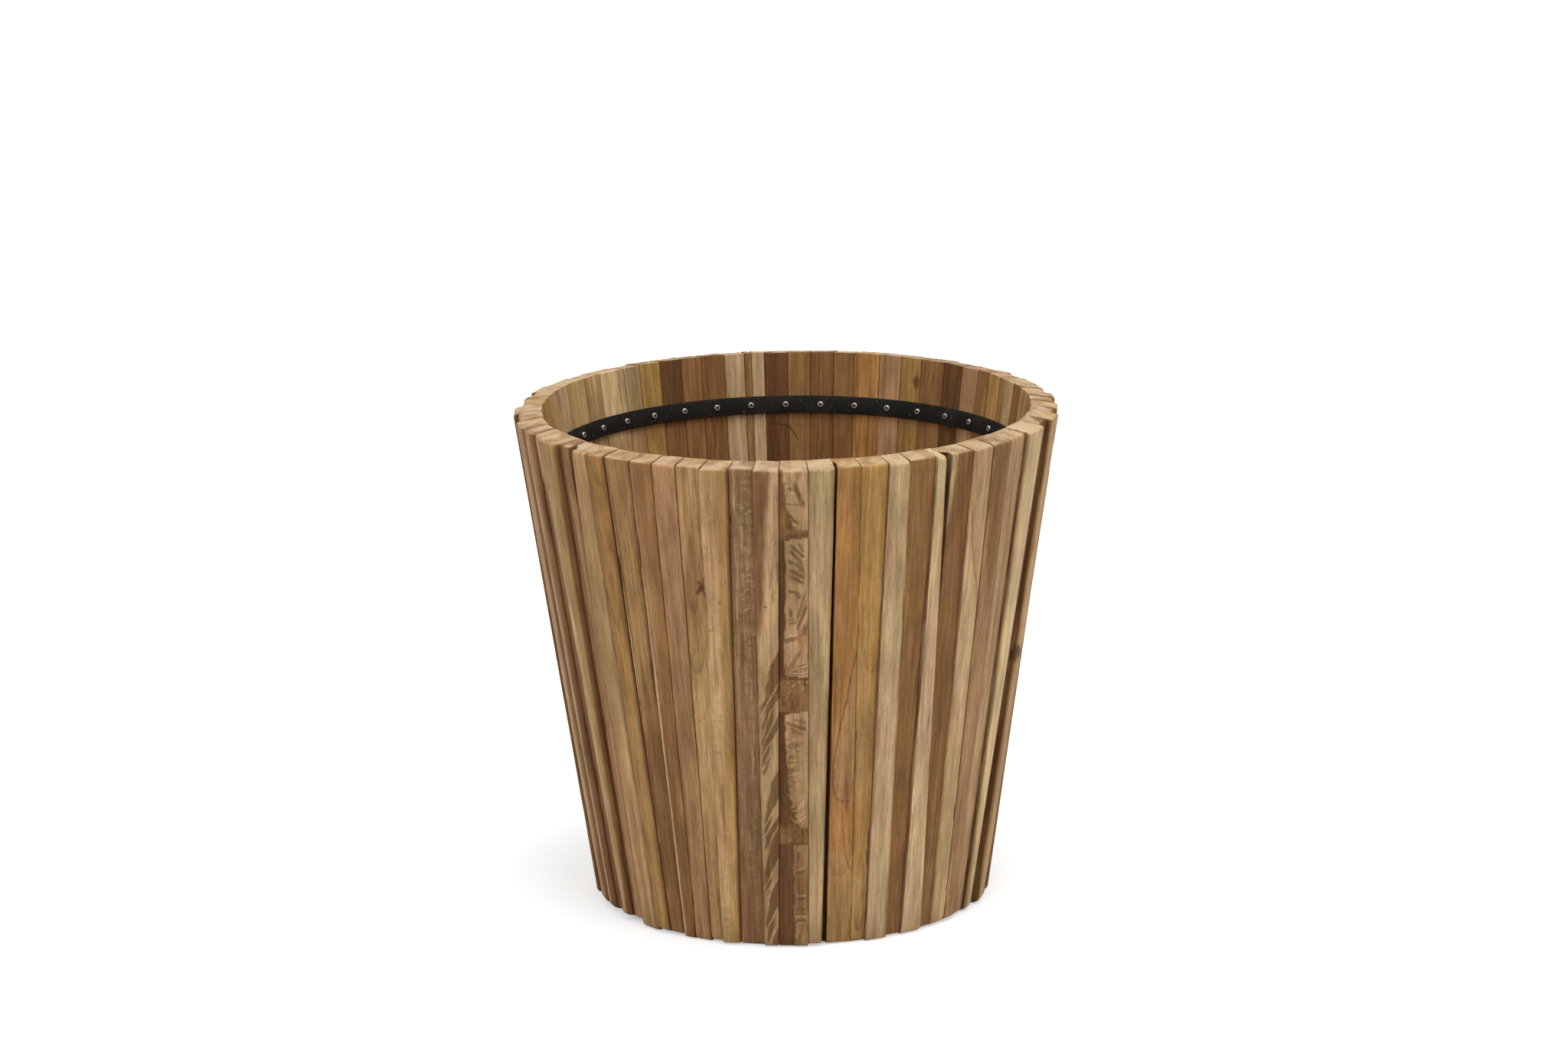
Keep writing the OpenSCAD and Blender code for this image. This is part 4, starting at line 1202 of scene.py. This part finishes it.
def wear_and_painted_light():
    """Handling, weather and painted light: pale edges, partly rubbing and partly painted highlight,
    dull end grain, and joints darkened with dirt and painted shade.
    """
    n, given, out = new_group(
        "Wear",
        [("Color", "Color"), ("Marks", "Vector"), ("Place", "Vector"), ("End Grain", "Color"),
         ("Dirt", "Color")],
        [("Color", "Color"), ("Patchy", "Float")],
    )
    at_edge, on_end, in_joint = n.parts(given["Marks"])
    patchy = n.grain(given["Place"], (45, 45, 14), 3.0)
    # Pale edges: partly rubbing, partly a painted highlight on the arrises.
    rub_and_highlight = n.times(at_edge, n.between(patchy, 0.42, 0.62, 0.0, 0.7))
    lighter = n.mix(1.0, given["Color"], (1.3, 1.26, 1.18, 1), "MULTIPLY")
    hue = n.mix(rub_and_highlight, given["Color"], lighter)
    speckle = n.between(n.grain(given["Place"], (500, 500, 500), 2.0), 0.3, 0.7, 0.76, 0.88)
    chalky = n.between(n.grain(given["Place"], (40, 40, 0), 1.0), 0.38, 0.62, 0.1, 0.85)
    cut_end = n.mix(chalky, given["Color"], given["End Grain"])
    shade = n.add("ShaderNodeCombineColor", {0: speckle, 1: speckle, 2: speckle}).outputs[0]
    cut_end = n.mix(1.0, cut_end, shade, "MULTIPLY")
    hue = n.mix(on_end, hue, cut_end)
    # Joints: dirt, and painted shade on the stave sides that show beside a prouder neighbour.
    dirt_and_shade = n.times(in_joint, n.between(patchy, 0.3, 0.7, 0.4, 0.9))
    stain = n.times(at_edge, n.between(patchy, 0.6, 0.35, 0.0, 0.35))
    hue = n.mix(n.math("MAXIMUM", dirt_and_shade, stain), hue, given["Dirt"])
    sockets = out()
    n.feed(sockets["Color"], hue)
    n.feed(sockets["Patchy"], patchy)
    return n.tree


def new_material(name):
    """A material with only its output, and a way to add nodes to it."""
    material = bpy.data.materials.new(name)
    material.use_nodes = True
    material.node_tree.nodes.clear()
    return material, Nodes(material.node_tree)


def finish_surface(n, **inputs):
    """Ends a material in a Principled shader."""
    shader = n.add("ShaderNodeBsdfPrincipled")
    for key, value in inputs.items():
        n.feed(shader.inputs[key.replace("_", " ")], value)
    n.add("ShaderNodeOutputMaterial", {"Surface": shader.outputs[0]})


def bump(n, height, millimetres):
    """A normal from a height of 0 to 1 that stands for so many millimetres."""
    settings = {"Strength": 1.0, "Distance": millimetres * MM, "Height": height}
    return n.add("ShaderNodeBump", settings).outputs[0]


def bare_wood(name, groups, ring_width, end_grain, dirt, roughness):
    """Bare wood that reads the place in the trunk, tone, knot and marks kept on each board; the
    marks also lay painted highlight on its edges and painted shade in its joints.
    """
    late_wood, stained, knot_core = (0.52, 0.42, 0.32, 1), (0.7, 0.6, 0.53, 1), (0.08, 0.036, 0.017, 1)
    material, n = new_material(name)
    rings, along, worn = groups
    trunk, knot, marks = (n.kept(name)["Vector"] for name in ("trunk", "knot", "marks"))
    tone = n.kept("tone")
    ring = n.group(rings, Place=trunk, Knot=knot, Ring_Width=ring_width)
    fibre = n.group(along, Place=trunk)
    hue = tone["Color"]
    shades = (
        ("Tint", (0.99, 0.95, 0.995), (0.95, 0.985, 0.935)), ("Cloud", (0.87, 0.85, 0.82), (1.11, 1.1, 1.07)),
        ("Broad", (0.84, 0.81, 0.77), (1.11, 1.1, 1.07)), ("Thin", (0.83, 0.79, 0.74), (1.08, 1.07, 1.05)),
        ("Fine", (0.89, 0.87, 0.84), (1.05, 1.05, 1.05)),
    )
    for figure, low, high in shades:
        hue = n.mix(1.0, hue, n.mix(fibre[figure], (*low, 1), (*high, 1)), "MULTIPLY")
    dark = n.mix(1.0, hue, late_wood, "MULTIPLY")
    late = n.times(n.times(ring["Late Wood"], tone["Alpha"]), 1.3, clamp=True)
    hue = n.mix(late, hue, dark)
    hue = n.mix(n.times(fibre["Mineral"], 0.5), hue, dark)
    reddish = n.mix(1.0, hue, stained, "MULTIPLY")
    hue = n.mix(n.times(fibre["Stain"], 0.5), hue, reddish)
    hue = n.mix(n.times(fibre["Pores"], 0.5), hue, dark)
    hue = n.mix(n.times(ring["Knot Core"], 0.8), hue, knot_core)
    # This group lays painted highlight on the edges, and dirt with painted shade in the joints.
    handled_with_painted_light = n.group(worn, Color=hue, Marks=marks, Place=trunk, End_Grain=(*end_grain, 1), Dirt=(*dirt, 1))
    height = n.minus(n.times(fibre["Fine"], 0.5), fibre["Pores"])
    height = n.minus(height, n.times(ring["Late Wood"], 0.3))
    height = n.plus(height, fibre["Thin"])
    rough = n.plus(roughness, n.times(handled_with_painted_light["Patchy"], 0.16))
    rough = n.plus(rough, n.times(fibre["Pores"], 0.12))
    rough = n.plus(rough, n.times(n.parts(marks)[2], 0.3), clamp=True)
    finish_surface(n, Base_Color=handled_with_painted_light["Color"], Roughness=rough, Normal=bump(n, height, 0.15),
                   IOR=1.45, Specular_IOR_Level=0.14)
    return material


def object_place(n):
    """Where a point lies on its own piece."""
    return n.add("ShaderNodeTexCoord").outputs["Object"]


def black_paint(paint):
    """Satin black paint on a rolled bar: fine orange peel, dusty clouds, a few pale specks."""
    material, n = new_material("Black paint")
    place = object_place(n)
    cloud = n.grain(place, (30, 30, 30), 4.0)
    orange_peel = n.grain(place, (700, 700, 700), 2.0)
    specks = n.between(n.grain(place, (420, 420, 420), 1.0), 0.71, 0.75)
    dust = n.times(n.between(cloud, 0.45, 0.75), 0.22)
    dusty, worn = (0.04, 0.034, 0.027, 1), (0.16, 0.13, 0.1, 1)
    hue = n.mix(dust, (*paint, 1), dusty)
    hue = n.mix(n.times(specks, 0.6), hue, worn)
    rough = n.between(cloud, 0.3, 0.7, 0.5, 0.66)
    finish_surface(n, Base_Color=hue, Roughness=rough, Normal=bump(n, orange_peel, 0.05),
                   Specular_IOR_Level=0.12)
    return material


def zinc_plate(zinc):
    """Zinc plating, a little dulled, with its cross recess painted near black as shade."""
    material, n = new_material("Zinc plate")
    place = object_place(n)
    cloud = n.grain(place, (380, 380, 380), 3.0)
    deep = n.parts(n.kept("marks")["Vector"])[0]
    dull, recess_shade = (0.22, 0.215, 0.2, 1), (0.02, 0.018, 0.016, 1)
    hue = n.mix(n.between(cloud, 0.35, 0.7, 0.0, 0.7), (*zinc, 1), dull)
    # The recess is painted near black as its shade, and is not metal.
    hue = n.mix(deep, hue, recess_shade)
    rough = n.between(cloud, 0.3, 0.7, 0.42, 0.6)
    finish_surface(n, Base_Color=hue, Roughness=rough, Metallic=n.minus(1.0, deep, clamp=True),
                   Normal=bump(n, cloud, 0.02))
    return material


def wood_groups():
    """The shared node groups of the bare wood, built once."""
    names = ("Growth rings", "Fibres", "Wear")
    if names[0] not in bpy.data.node_groups:
        return growth_rings(), fibres(), wear_and_painted_light()
    return tuple(bpy.data.node_groups[name] for name in names)


# ------------------------------------------------------------------ hoops and screws


def ring_of(section, count):
    """A closed section in (radius, height) swept round the axis, as points and quads."""
    turns = np.linspace(0, 2 * math.pi, count, endpoint=False)
    points = np.concatenate([
        np.stack([r * np.sin(turns), -r * np.cos(turns), np.full(count, z)], -1) for r, z in section
    ])
    m = len(section)
    k = np.arange(count)
    quads = [
        np.stack([a * count + k, a * count + (k + 1) % count, b * count + (k + 1) % count, b * count + k], -1)
        for a, b in ((a, (a + 1) % m) for a in range(m))
    ]
    return points, np.concatenate(quads)


def build_hoop(name, node, middle, wall, hoops, screws, material):
    """A flat bar bent to a leaning ring, its edges rounded and its screw holes drilled."""
    section = []
    for x, y, start in ((-1, -1, 180), (1, -1, 270), (1, 1, 0), (-1, 1, 90)):
        for turn in (0, 30, 60, 90):
            a = math.radians(start + turn)
            across = -hoops.gap - hoops.bar_t / 2 + x * (hoops.bar_t / 2 - hoops.corner)
            across += hoops.corner * math.cos(a)
            up = y * (hoops.bar_h / 2 - hoops.corner) + hoops.corner * math.sin(a)
            section.append((
                wall.inner_r(middle) + across * wall.out.x + up * wall.up.x,
                middle + across * wall.out.z + up * wall.up.z,
            ))
    points, quads = ring_of(section, HOOP_STEPS)
    hoop = net_piece(name, points, quads, [node], material)
    drill_at = [screw_matrix(k, middle, wall, hoops) for k in range(hoops.screws)]
    n = DRILL_SIDES
    circle = np.linspace(0, 2 * math.pi, n, endpoint=False)
    reach = 3 * hoops.bar_t
    tool = np.array([
        (x, screws.hole_d / 2 * math.cos(t), screws.hole_d / 2 * math.sin(t))
        for x in (-reach, reach) for t in circle
    ])
    sides = [[k, (k + 1) % n, n + (k + 1) % n, n + k] for k in range(n)]
    ends = [list(range(n - 1, -1, -1)), list(range(n, 2 * n))]
    all_points, all_faces = [], []
    for m in drill_at:
        base = len(all_points)
        all_points += [m @ Vector(p) for p in tool]
        all_faces += [[base + v for v in f] for f in sides + ends]
    bits = bpy.data.meshes.new("drill bits")
    bits.from_pydata(all_points, [], all_faces)
    drill = bpy.data.objects.new("drill bits", bits)
    bpy.context.scene.collection.objects.link(drill)
    cut = hoop.modifiers.new("Screw holes", "BOOLEAN")
    cut.operation, cut.solver, cut.object = "DIFFERENCE", "EXACT", drill
    bpy.context.view_layer.update()
    drilled = bpy.data.meshes.new_from_object(hoop.evaluated_get(bpy.context.evaluated_depsgraph_get()))
    hoop.modifiers.clear()
    hoop.data = drilled
    drilled.shade_smooth()
    drilled.set_sharp_from_angle(angle=math.radians(40))
    bpy.data.objects.remove(drill)
    return hoop


def screw_matrix(k, middle, wall, hoops):
    """The place of screw k of a hoop: the origin on the bar's inner face, +X outward."""
    turn = Matrix.Rotation(k * 2 * math.pi / hoops.screws - math.pi / 2, 4, "Z")
    place = Matrix.Translation((wall.inner_r(middle), 0, middle))
    lean = Matrix.Rotation(wall.lean, 4, "Y")
    return turn @ place @ lean @ Matrix.Translation((-hoops.gap - hoops.bar_t, 0, 0))


def screw_mesh(screws, length, turn):
    """Points, recess marks and faces of one pan-head screw along +X, its thread cut, with
    a cross recess turned to an angle."""
    n = SCREW_SIDES
    r, h = screws.head_d / 2, screws.head_h
    core, crest = screws.shank_d * 0.36, screws.shank_d / 2
    pitch = screws.shank_d * 0.42
    rows = [(np.full(n, r * wide), -h * high) for wide, high in HEAD_PROFILE]
    rows.append((np.full(n, core * 1.15), 0.0))
    angles = np.linspace(0, 2 * math.pi, n, endpoint=False)
    tip = screws.shank_d * 1.1
    for x in np.arange(0.7 * MM, length - 0.3 * MM, pitch / 4):
        wave = (x / pitch - angles / (2 * math.pi)) % 1
        thread = np.clip(1 - np.abs(wave - 0.5) * 5, 0, 1)
        taper = min(1.0, (length - x) / tip)
        rows.append(((core + (crest - core) * thread) * taper, x))
    points = [
        (x, one * math.cos(a), one * math.sin(a)) for radii, x in rows for a, one in zip(angles, radii)
    ]
    faces = [
        [row * n + k, row * n + (k + 1) % n, (row + 1) * n + (k + 1) % n, (row + 1) * n + k]
        for row in range(len(rows) - 1) for k in range(n)
    ]
    points.append((length, 0, 0))
    last = (len(rows) - 1) * n
    faces += [[last + k, last + (k + 1) % n, len(points) - 1] for k in range(n)]
    marks = [0.0] * len(points)
    cross_recess(points, marks, faces, arm=r * 0.56, slot=r * 0.25, deep=h * 0.62)
    c, s = math.cos(turn), math.sin(turn)
    turned = [(x, y * c - z * s, y * s + z * c) for x, y, z in points]
    return turned, marks, faces


def cross_recess(points, marks, faces, arm, slot, deep):
    """Closes the top of a screw's head with a cross-shaped recess that narrows inward."""
    outline = [(arm, -slot), (arm, slot), (slot, slot), (slot, arm), (-slot, arm), (-slot, slot),
               (-arm, slot), (-arm, -slot), (-slot, -slot), (-slot, -arm), (slot, -arm), (slot, -slot)]
    m = len(outline)
    first = len(points)
    crown = points[0][0]
    # Each level's mark sets how far it is painted near black as the recess's shade.
    levels = ((crown, 1.0, 0.9), (crown + deep * 0.5, 0.75, 1.0), (crown + deep, 0.35, 1.0))
    for x, share, mark in levels:
        points += [(x, y * share, z * share) for y, z in outline]
        marks += [mark] * m
    for base in (first, first + m):
        faces += [[base + k, base + m + k, base + m + (k + 1) % m, base + (k + 1) % m] for k in range(m)]
    faces.append([first + 2 * m + k for k in range(m)])
    full = 2 * math.pi
    for k in range(m):
        following = (k + 1) % m
        a, b = (
            round(math.atan2(outline[at][1], outline[at][0]) % full / full * SCREW_SIDES)
            for at in (k, following)
        )
        if b < a:
            b += SCREW_SIDES
        crown_points = [at % SCREW_SIDES for at in range(b, a - 1, -1)]
        faces.append([first + k, first + following] + crown_points)


def build_screws(name, node, places, length, screws, material, seed):
    """All the screws of one ring or panel, each turned as it was driven."""
    rng = np.random.default_rng(seed)
    points, marks, faces = [], [], []
    for place in places:
        one, one_marks, one_faces = screw_mesh(screws, length, rng.uniform(0, math.pi))
        base = len(points)
        points += [place @ Vector(p) for p in one]
        marks += one_marks
        faces += [[base + v for v in f] for f in one_faces]
    mesh = bpy.data.meshes.new(name)
    mesh.from_pydata(points, [], faces)
    mesh.shade_smooth()
    mesh.set_sharp_from_angle(angle=math.radians(50))
    piece = add_piece(name, mesh, [node], material)
    # The marks paint each recess near black as its shade.
    keep(piece, "marks", "FLOAT_VECTOR", np.stack([marks, marks, marks], -1))
    return piece


# ---------------------------------------------------------------------------- base

BOARD_TONES = ("tan", "honey", "straw", "rose", "tan")


class Panel:
    """The slatted base: where it rests, and how its boards and battens are laid out."""

    def __init__(self, wall, hoops, screws, base):
        lean = wall.lean
        self.seat = (hoops.lower_rise + hoops.bar_h / 2 * math.cos(lean)
                     + (hoops.bar_t + hoops.gap) * math.sin(lean))
        self.radius = wall.inner_r(self.seat) - base.wall_gap
        self.board_w = (2 * self.radius - (base.boards - 1) * base.drain_gap) / base.boards
        self.pitch = self.board_w + base.drain_gap
        reach = (wall.inner_r(hoops.lower_rise - hoops.bar_h / 2)
                 - hoops.bar_t - screws.head_h - base.batten_gap)
        self.batten_l = 2 * math.sqrt(reach**2 - (base.batten_out + base.batten_w / 2) ** 2)

    def board_x(self, k, base):
        """The middle of board k, counted from the left from 1."""
        return (k - (base.boards + 1) / 2) * self.pitch

    def screw_x(self, k, base):
        """Where the screws of board k go through the battens."""
        limit = self.batten_l / 2 - base.batten_end
        return min(max(self.board_x(k, base), -limit), limit)


def even_rows(length, edge, spacing):
    """Places along a board or batten, close together at both ends."""
    near = edge * EDGE_STEPS
    n = round((length - 2 * near[-1]) / spacing)
    middle = np.linspace(near[-1], length - near[-1], n + 1)[1:-1]
    return np.concatenate([near, middle, length - near[::-1]])


def keep_wood(piece, sawn, points_across, tone, rings, sawn_as, rng):
    """Stores what the wood material reads on a board or batten of one tone."""
    trunk = place_in_trunk(rng, sawn_as, points_across, sawn.d - sawn.depth, sawn.s)
    keep(piece, "trunk", "FLOAT_VECTOR", trunk)
    keep(piece, "knot", "FLOAT_VECTOR", np.tile(NO_KNOT, (len(sawn.s), 1)))
    keep(piece, "tone", "FLOAT_COLOR", np.tile((*tone, rings), (len(sawn.s), 1)))
    end = np.minimum(sawn.s, sawn.length - sawn.s)
    side = np.minimum(sawn.a, sawn.width[sawn.k] - sawn.a)
    top = sawn.depth - sawn.d
    at_edge = np.exp(-side / (1.2 * MM)) * np.exp(-top / (1.2 * MM))
    marks = np.stack([at_edge, step(end, 1 * MM, 0.1 * MM), 0 * end], -1)
    keep(piece, "marks", "FLOAT_VECTOR", marks)


def build_board(k, panel, wall, base, tones, material):
    """One base board, its ends cut to the round and bevelled like the wall."""
    rng = np.random.default_rng(BOARD_SEED + k)
    edge = 1.2 * MM
    length = 2 * panel.radius
    rows = even_rows(length, edge, 0.008)
    sawn = Sawn(panel.board_w, base.board_t, length, rows, edge, edge, 0.004)
    z = panel.seat + sawn.d
    radius = panel.radius + wall.slope * sawn.d
    low = panel.board_x(k, base) - panel.board_w / 2
    share = (sawn.s / length) * 2 - 1
    if 1 < k < base.boards:
        x = low + sawn.a
        y = share * np.sqrt(np.maximum(radius**2 - x**2, 0))
    else:
        side = -1 if k == 1 else 1
        straight = abs(low + (panel.board_w if k == 1 else 0))
        out = sawn.a / panel.board_w if k > 1 else 1 - sawn.a / panel.board_w
        y = share * np.sqrt(radius**2 - straight**2) * 0.985
        x = side * (straight + out * (np.sqrt(np.maximum(radius**2 - y**2, 0)) - straight))
    sag = 0.15 * MM * (1 + wander(rng, sawn.s, 0.12)) * sawn.d / sawn.depth
    board = net_piece(f"slat_{k}", np.stack([x, y, z - sag], -1), sawn.quads(),
                        [f"base_board_{k}"], material)
    tone = tone_of(tones, BOARD_TONES[(k - 1) % len(BOARD_TONES)]) * rng.uniform(0.88, 0.98)
    keep_wood(board, sawn, x - panel.board_x(k, base), tone, 0.5, "flat" if k % 2 else "rift", rng)
    return board


def build_batten(name, node, side, panel, base, tones, material):
    """One batten under the base boards."""
    rng = np.random.default_rng(BATTEN_SEED + side)
    edge = 1.5 * MM
    rows = even_rows(panel.batten_l, edge, 0.01)
    sawn = Sawn(base.batten_w, base.batten_t, panel.batten_l, rows, edge, edge, 0.005)
    x = sawn.s - panel.batten_l / 2
    y = side * base.batten_out + sawn.a - base.batten_w / 2
    z = panel.seat - sawn.d - 0.02 * MM
    batten = net_piece(name, np.stack([x, y, z], -1), sawn.quads(), [node], material)
    tone = tone_of(tones, "brown" if side < 0 else "honey") * 0.95
    keep_wood(batten, sawn, sawn.a - base.batten_w / 2, tone, 0.5, "rift", rng)
    return batten


# ----------------------------------------------------------------------- operators


class Builder:
    """What the operators that build the planter share."""

    bl_options = {"REGISTER", "UNDO"}

    def wall(self, context):
        return Wall(context.scene.planter_wall)


class PLANTER_OT_staves(Builder, bpy.types.Operator):
    """Builds the wall: every stave as a piece of its own"""

    bl_idname = "planter.staves"
    bl_label = "Staves"

    def execute(self, context):
        scene = context.scene
        tones = scene.planter_tones
        material = bare_wood("Stave wood", wood_groups(), 4.2 * MM, tones.cream, tones.dirt, 0.56)
        wall = self.wall(context)
        for i in range(len(STAVES)):
            build_stave(i, wall, tones, material)
        return {"FINISHED"}


class PLANTER_OT_hoops(Builder, bpy.types.Operator):
    """Builds the two black hoops inside the wall"""

    bl_idname = "planter.hoops"
    bl_label = "Hoops"

    def execute(self, context):
        hoops, screws = context.scene.planter_hoops, context.scene.planter_screws
        wall = self.wall(context)
        material = black_paint(hoops.paint)
        upper = wall.size.height - hoops.upper_drop
        build_hoop("hoop_upper", "upper_hoop", upper, wall, hoops, screws, material)
        build_hoop("hoop_lower", "lower_hoop", hoops.lower_rise, wall, hoops, screws, material)
        return {"FINISHED"}


class PLANTER_OT_hoop_screws(Builder, bpy.types.Operator):
    """Drives the screws through both hoops into the staves"""

    bl_idname = "planter.hoop_screws"
    bl_label = "Hoop Screws"

    def execute(self, context):
        hoops, screws = context.scene.planter_hoops, context.scene.planter_screws
        wall = self.wall(context)
        material = zinc_plate(screws.zinc)
        upper = wall.size.height - hoops.upper_drop
        rings = (("screws_upper_hoop", "upper_hoop_screws", upper, UPPER_SCREW_SEED),
                 ("screws_lower_hoop", "lower_hoop_screws", hoops.lower_rise, LOWER_SCREW_SEED))
        for name, node, middle, seed in rings:
            places = [screw_matrix(k, middle, wall, hoops) for k in range(hoops.screws)]
            build_screws(name, node, places, screws.hoop_l, screws, material, seed)
        return {"FINISHED"}


class PLANTER_OT_base(Builder, bpy.types.Operator):
    """Builds the slatted base: its boards, battens and screws"""

    bl_idname = "planter.base"
    bl_label = "Base"

    def execute(self, context):
        scene = context.scene
        hoops, screws, base = scene.planter_hoops, scene.planter_screws, scene.planter_base
        tones = scene.planter_tones
        wall = self.wall(context)
        panel = Panel(wall, hoops, screws, base)
        material = bare_wood("Base wood", wood_groups(), 3.4 * MM, tones.cream, tones.dirt, 0.6)
        for k in range(1, base.boards + 1):
            build_board(k, panel, wall, base, tones, material)
        build_batten("batten_front", "base_batten_front", -1, panel, base, tones, material)
        build_batten("batten_back", "base_batten_back", 1, panel, base, tones, material)
        upright = Matrix.Rotation(-math.pi / 2, 4, "Y")
        places = [
            Matrix.Translation((panel.screw_x(k, base), side * base.batten_out, panel.seat - base.batten_t))
            @ upright
            for k in range(1, base.boards + 1) for side in (-1, 1)
        ]
        zinc = bpy.data.materials.get("Zinc plate") or zinc_plate(screws.zinc)
        build_screws("screws_base", "base_screws", places, base.batten_t + screws.base_bite,
                     screws, zinc, BASE_SCREW_SEED)
        return {"FINISHED"}


class PLANTER_OT_stage(bpy.types.Operator):
    """Sets the floor, the lamps and the camera"""

    bl_idname = "planter.stage"
    bl_label = "Stage"

    def execute(self, context):
        stage = context.scene.planter_stage
        floor_mesh = bpy.data.meshes.new("floor")
        corners = [(x * FLOOR_HALF, y * FLOOR_HALF, 0) for x, y in ((-1, -1), (1, -1), (1, 1), (-1, 1))]
        floor_mesh.from_pydata(corners, [], [(0, 1, 2, 3)])
        floor = bpy.data.objects.new("floor", floor_mesh)
        floor_mesh.materials.append(pale_floor(stage))
        context.scene.collection.objects.link(floor)
        white_world(context.scene, stage)
        for name, place, width in LAMPS:
            lamp = bpy.data.lights.new(name, "AREA")
            lamp.size, lamp.energy = width, getattr(stage, name)
            holder = bpy.data.objects.new(name, lamp)
            holder.location = place
            aim = Vector(LAMP_AIM) - Vector(place)
            holder.rotation_euler = aim.to_track_quat("-Z", "Y").to_euler()
            context.scene.collection.objects.link(holder)
        camera = bpy.data.objects.new("camera", bpy.data.cameras.new("camera"))
        camera.data.lens, camera.data.sensor_width = stage.lens, SENSOR_WIDTH
        camera.data.clip_end = 200.0
        camera.location = stage.eye
        turn = Matrix.Rotation(math.pi / 2 - stage.pitch, 3, "X") @ Matrix.Rotation(stage.roll, 3, "Z")
        camera.rotation_euler = turn.to_euler()
        context.scene.collection.objects.link(camera)
        context.scene.camera = camera
        context.scene.view_settings.view_transform = "Standard"
        return {"FINISHED"}


def seen_directly(n):
    """1 for rays from the camera, or seen in a mirror or through glass."""
    path = n.add("ShaderNodeLightPath").outputs
    seen = n.math("MAXIMUM", path["Is Camera Ray"], path["Is Glossy Ray"])
    return n.math("MAXIMUM", seen, path["Is Transmission Ray"])


def pale_floor(stage):
    """A floor that shows almost white to the camera, keeps the planter's shadow and is
    clear from below. It glows more away from the planter, and not at all under it."""
    grey_card = (0.6, 0.6, 0.6, 1)
    material, n = new_material("Pale floor")
    seen = seen_directly(n)
    mottle = n.grain(object_place(n), (3, 3, 3), 3.0)
    hue = n.mix(n.between(mottle, 0.3, 0.7), (*stage.floor, 1), (*(0.985 * c for c in stage.floor), 1))
    hue = n.mix(seen, hue, grey_card)
    far = n.between(n.vector("LENGTH", object_place(n)), 0.5, 2.4)
    glow = n.plus(stage.floor_glow, n.times(far, 0.6))
    glow = n.times(glow, n.between(n.vector("LENGTH", object_place(n)), 0.19, 0.215))
    matt = n.add("ShaderNodeBsdfDiffuse", {"Color": hue})
    glow = n.add("ShaderNodeEmission", {"Color": (1, 1, 1, 1),
                                        "Strength": n.times(seen, glow)})
    both = n.add("ShaderNodeAddShader", {0: matt.outputs[0], 1: glow.outputs[0]})
    clear = n.add("ShaderNodeBsdfTransparent")
    below = n.add("ShaderNodeNewGeometry").outputs["Backfacing"]
    either = n.add("ShaderNodeMixShader", {0: below, 1: both.outputs[0], 2: clear.outputs[0]})
    n.add("ShaderNodeOutputMaterial", {"Surface": either.outputs[0]})
    return material


def white_world(scene, stage):
    """Even light from all round, white where it is seen."""
    world = bpy.data.worlds.new("Studio")
    world.use_nodes = True
    world.node_tree.nodes.clear()
    n = Nodes(world.node_tree)
    seen = seen_directly(n)
    strength = n.plus(stage.sky, n.times(seen, 1.0 - stage.sky))
    light = n.add("ShaderNodeBackground", {"Color": (1, 1, 1, 1), "Strength": strength})
    n.add("ShaderNodeOutputWorld", {"Surface": light.outputs[0]})
    scene.world = world


class PLANTER_PT_build(bpy.types.Panel):
    """Lists the planter's sizes and the steps that build it"""

    bl_label = "Stave Planter"
    bl_idname = "PLANTER_PT_build"
    bl_space_type = "VIEW_3D"
    bl_region_type = "UI"
    bl_category = "Planter"

    def draw(self, context):
        layout = self.layout
        for operator in OPERATORS:
            layout.operator(operator.bl_idname)
        for group in GROUPS:
            box = layout.box()
            box.label(text=group)
            settings = getattr(context.scene, group)
            for name in settings.__annotations__:
                box.prop(settings, name)


OPERATORS = (PLANTER_OT_staves, PLANTER_OT_hoops, PLANTER_OT_hoop_screws, PLANTER_OT_base,
             PLANTER_OT_stage)
GROUPS = {
    "planter_wall": PlanterWall, "planter_tones": PlanterTones, "planter_hoops": PlanterHoops,
    "planter_screws": PlanterScrews, "planter_base": PlanterBase, "planter_stage": PlanterStage,
}


def register():
    """Makes the panel, its buttons and the planter's settings known."""
    for made in (*GROUPS.values(), *OPERATORS, PLANTER_PT_build):
        bpy.utils.register_class(made)
    for name, group in GROUPS.items():
        setattr(bpy.types.Scene, name, PointerProperty(type=group))


def unregister():
    """Takes them away again."""
    for name in GROUPS:
        delattr(bpy.types.Scene, name)
    for made in reversed((*GROUPS.values(), *OPERATORS, PLANTER_PT_build)):
        bpy.utils.unregister_class(made)


def main():
    """Builds the planter and its stage."""
    register()
    bpy.ops.planter.staves()
    bpy.ops.planter.hoops()
    bpy.ops.planter.hoop_screws()
    bpy.ops.planter.base()
    bpy.ops.planter.stage()


if __name__ == "__main__":
    main()
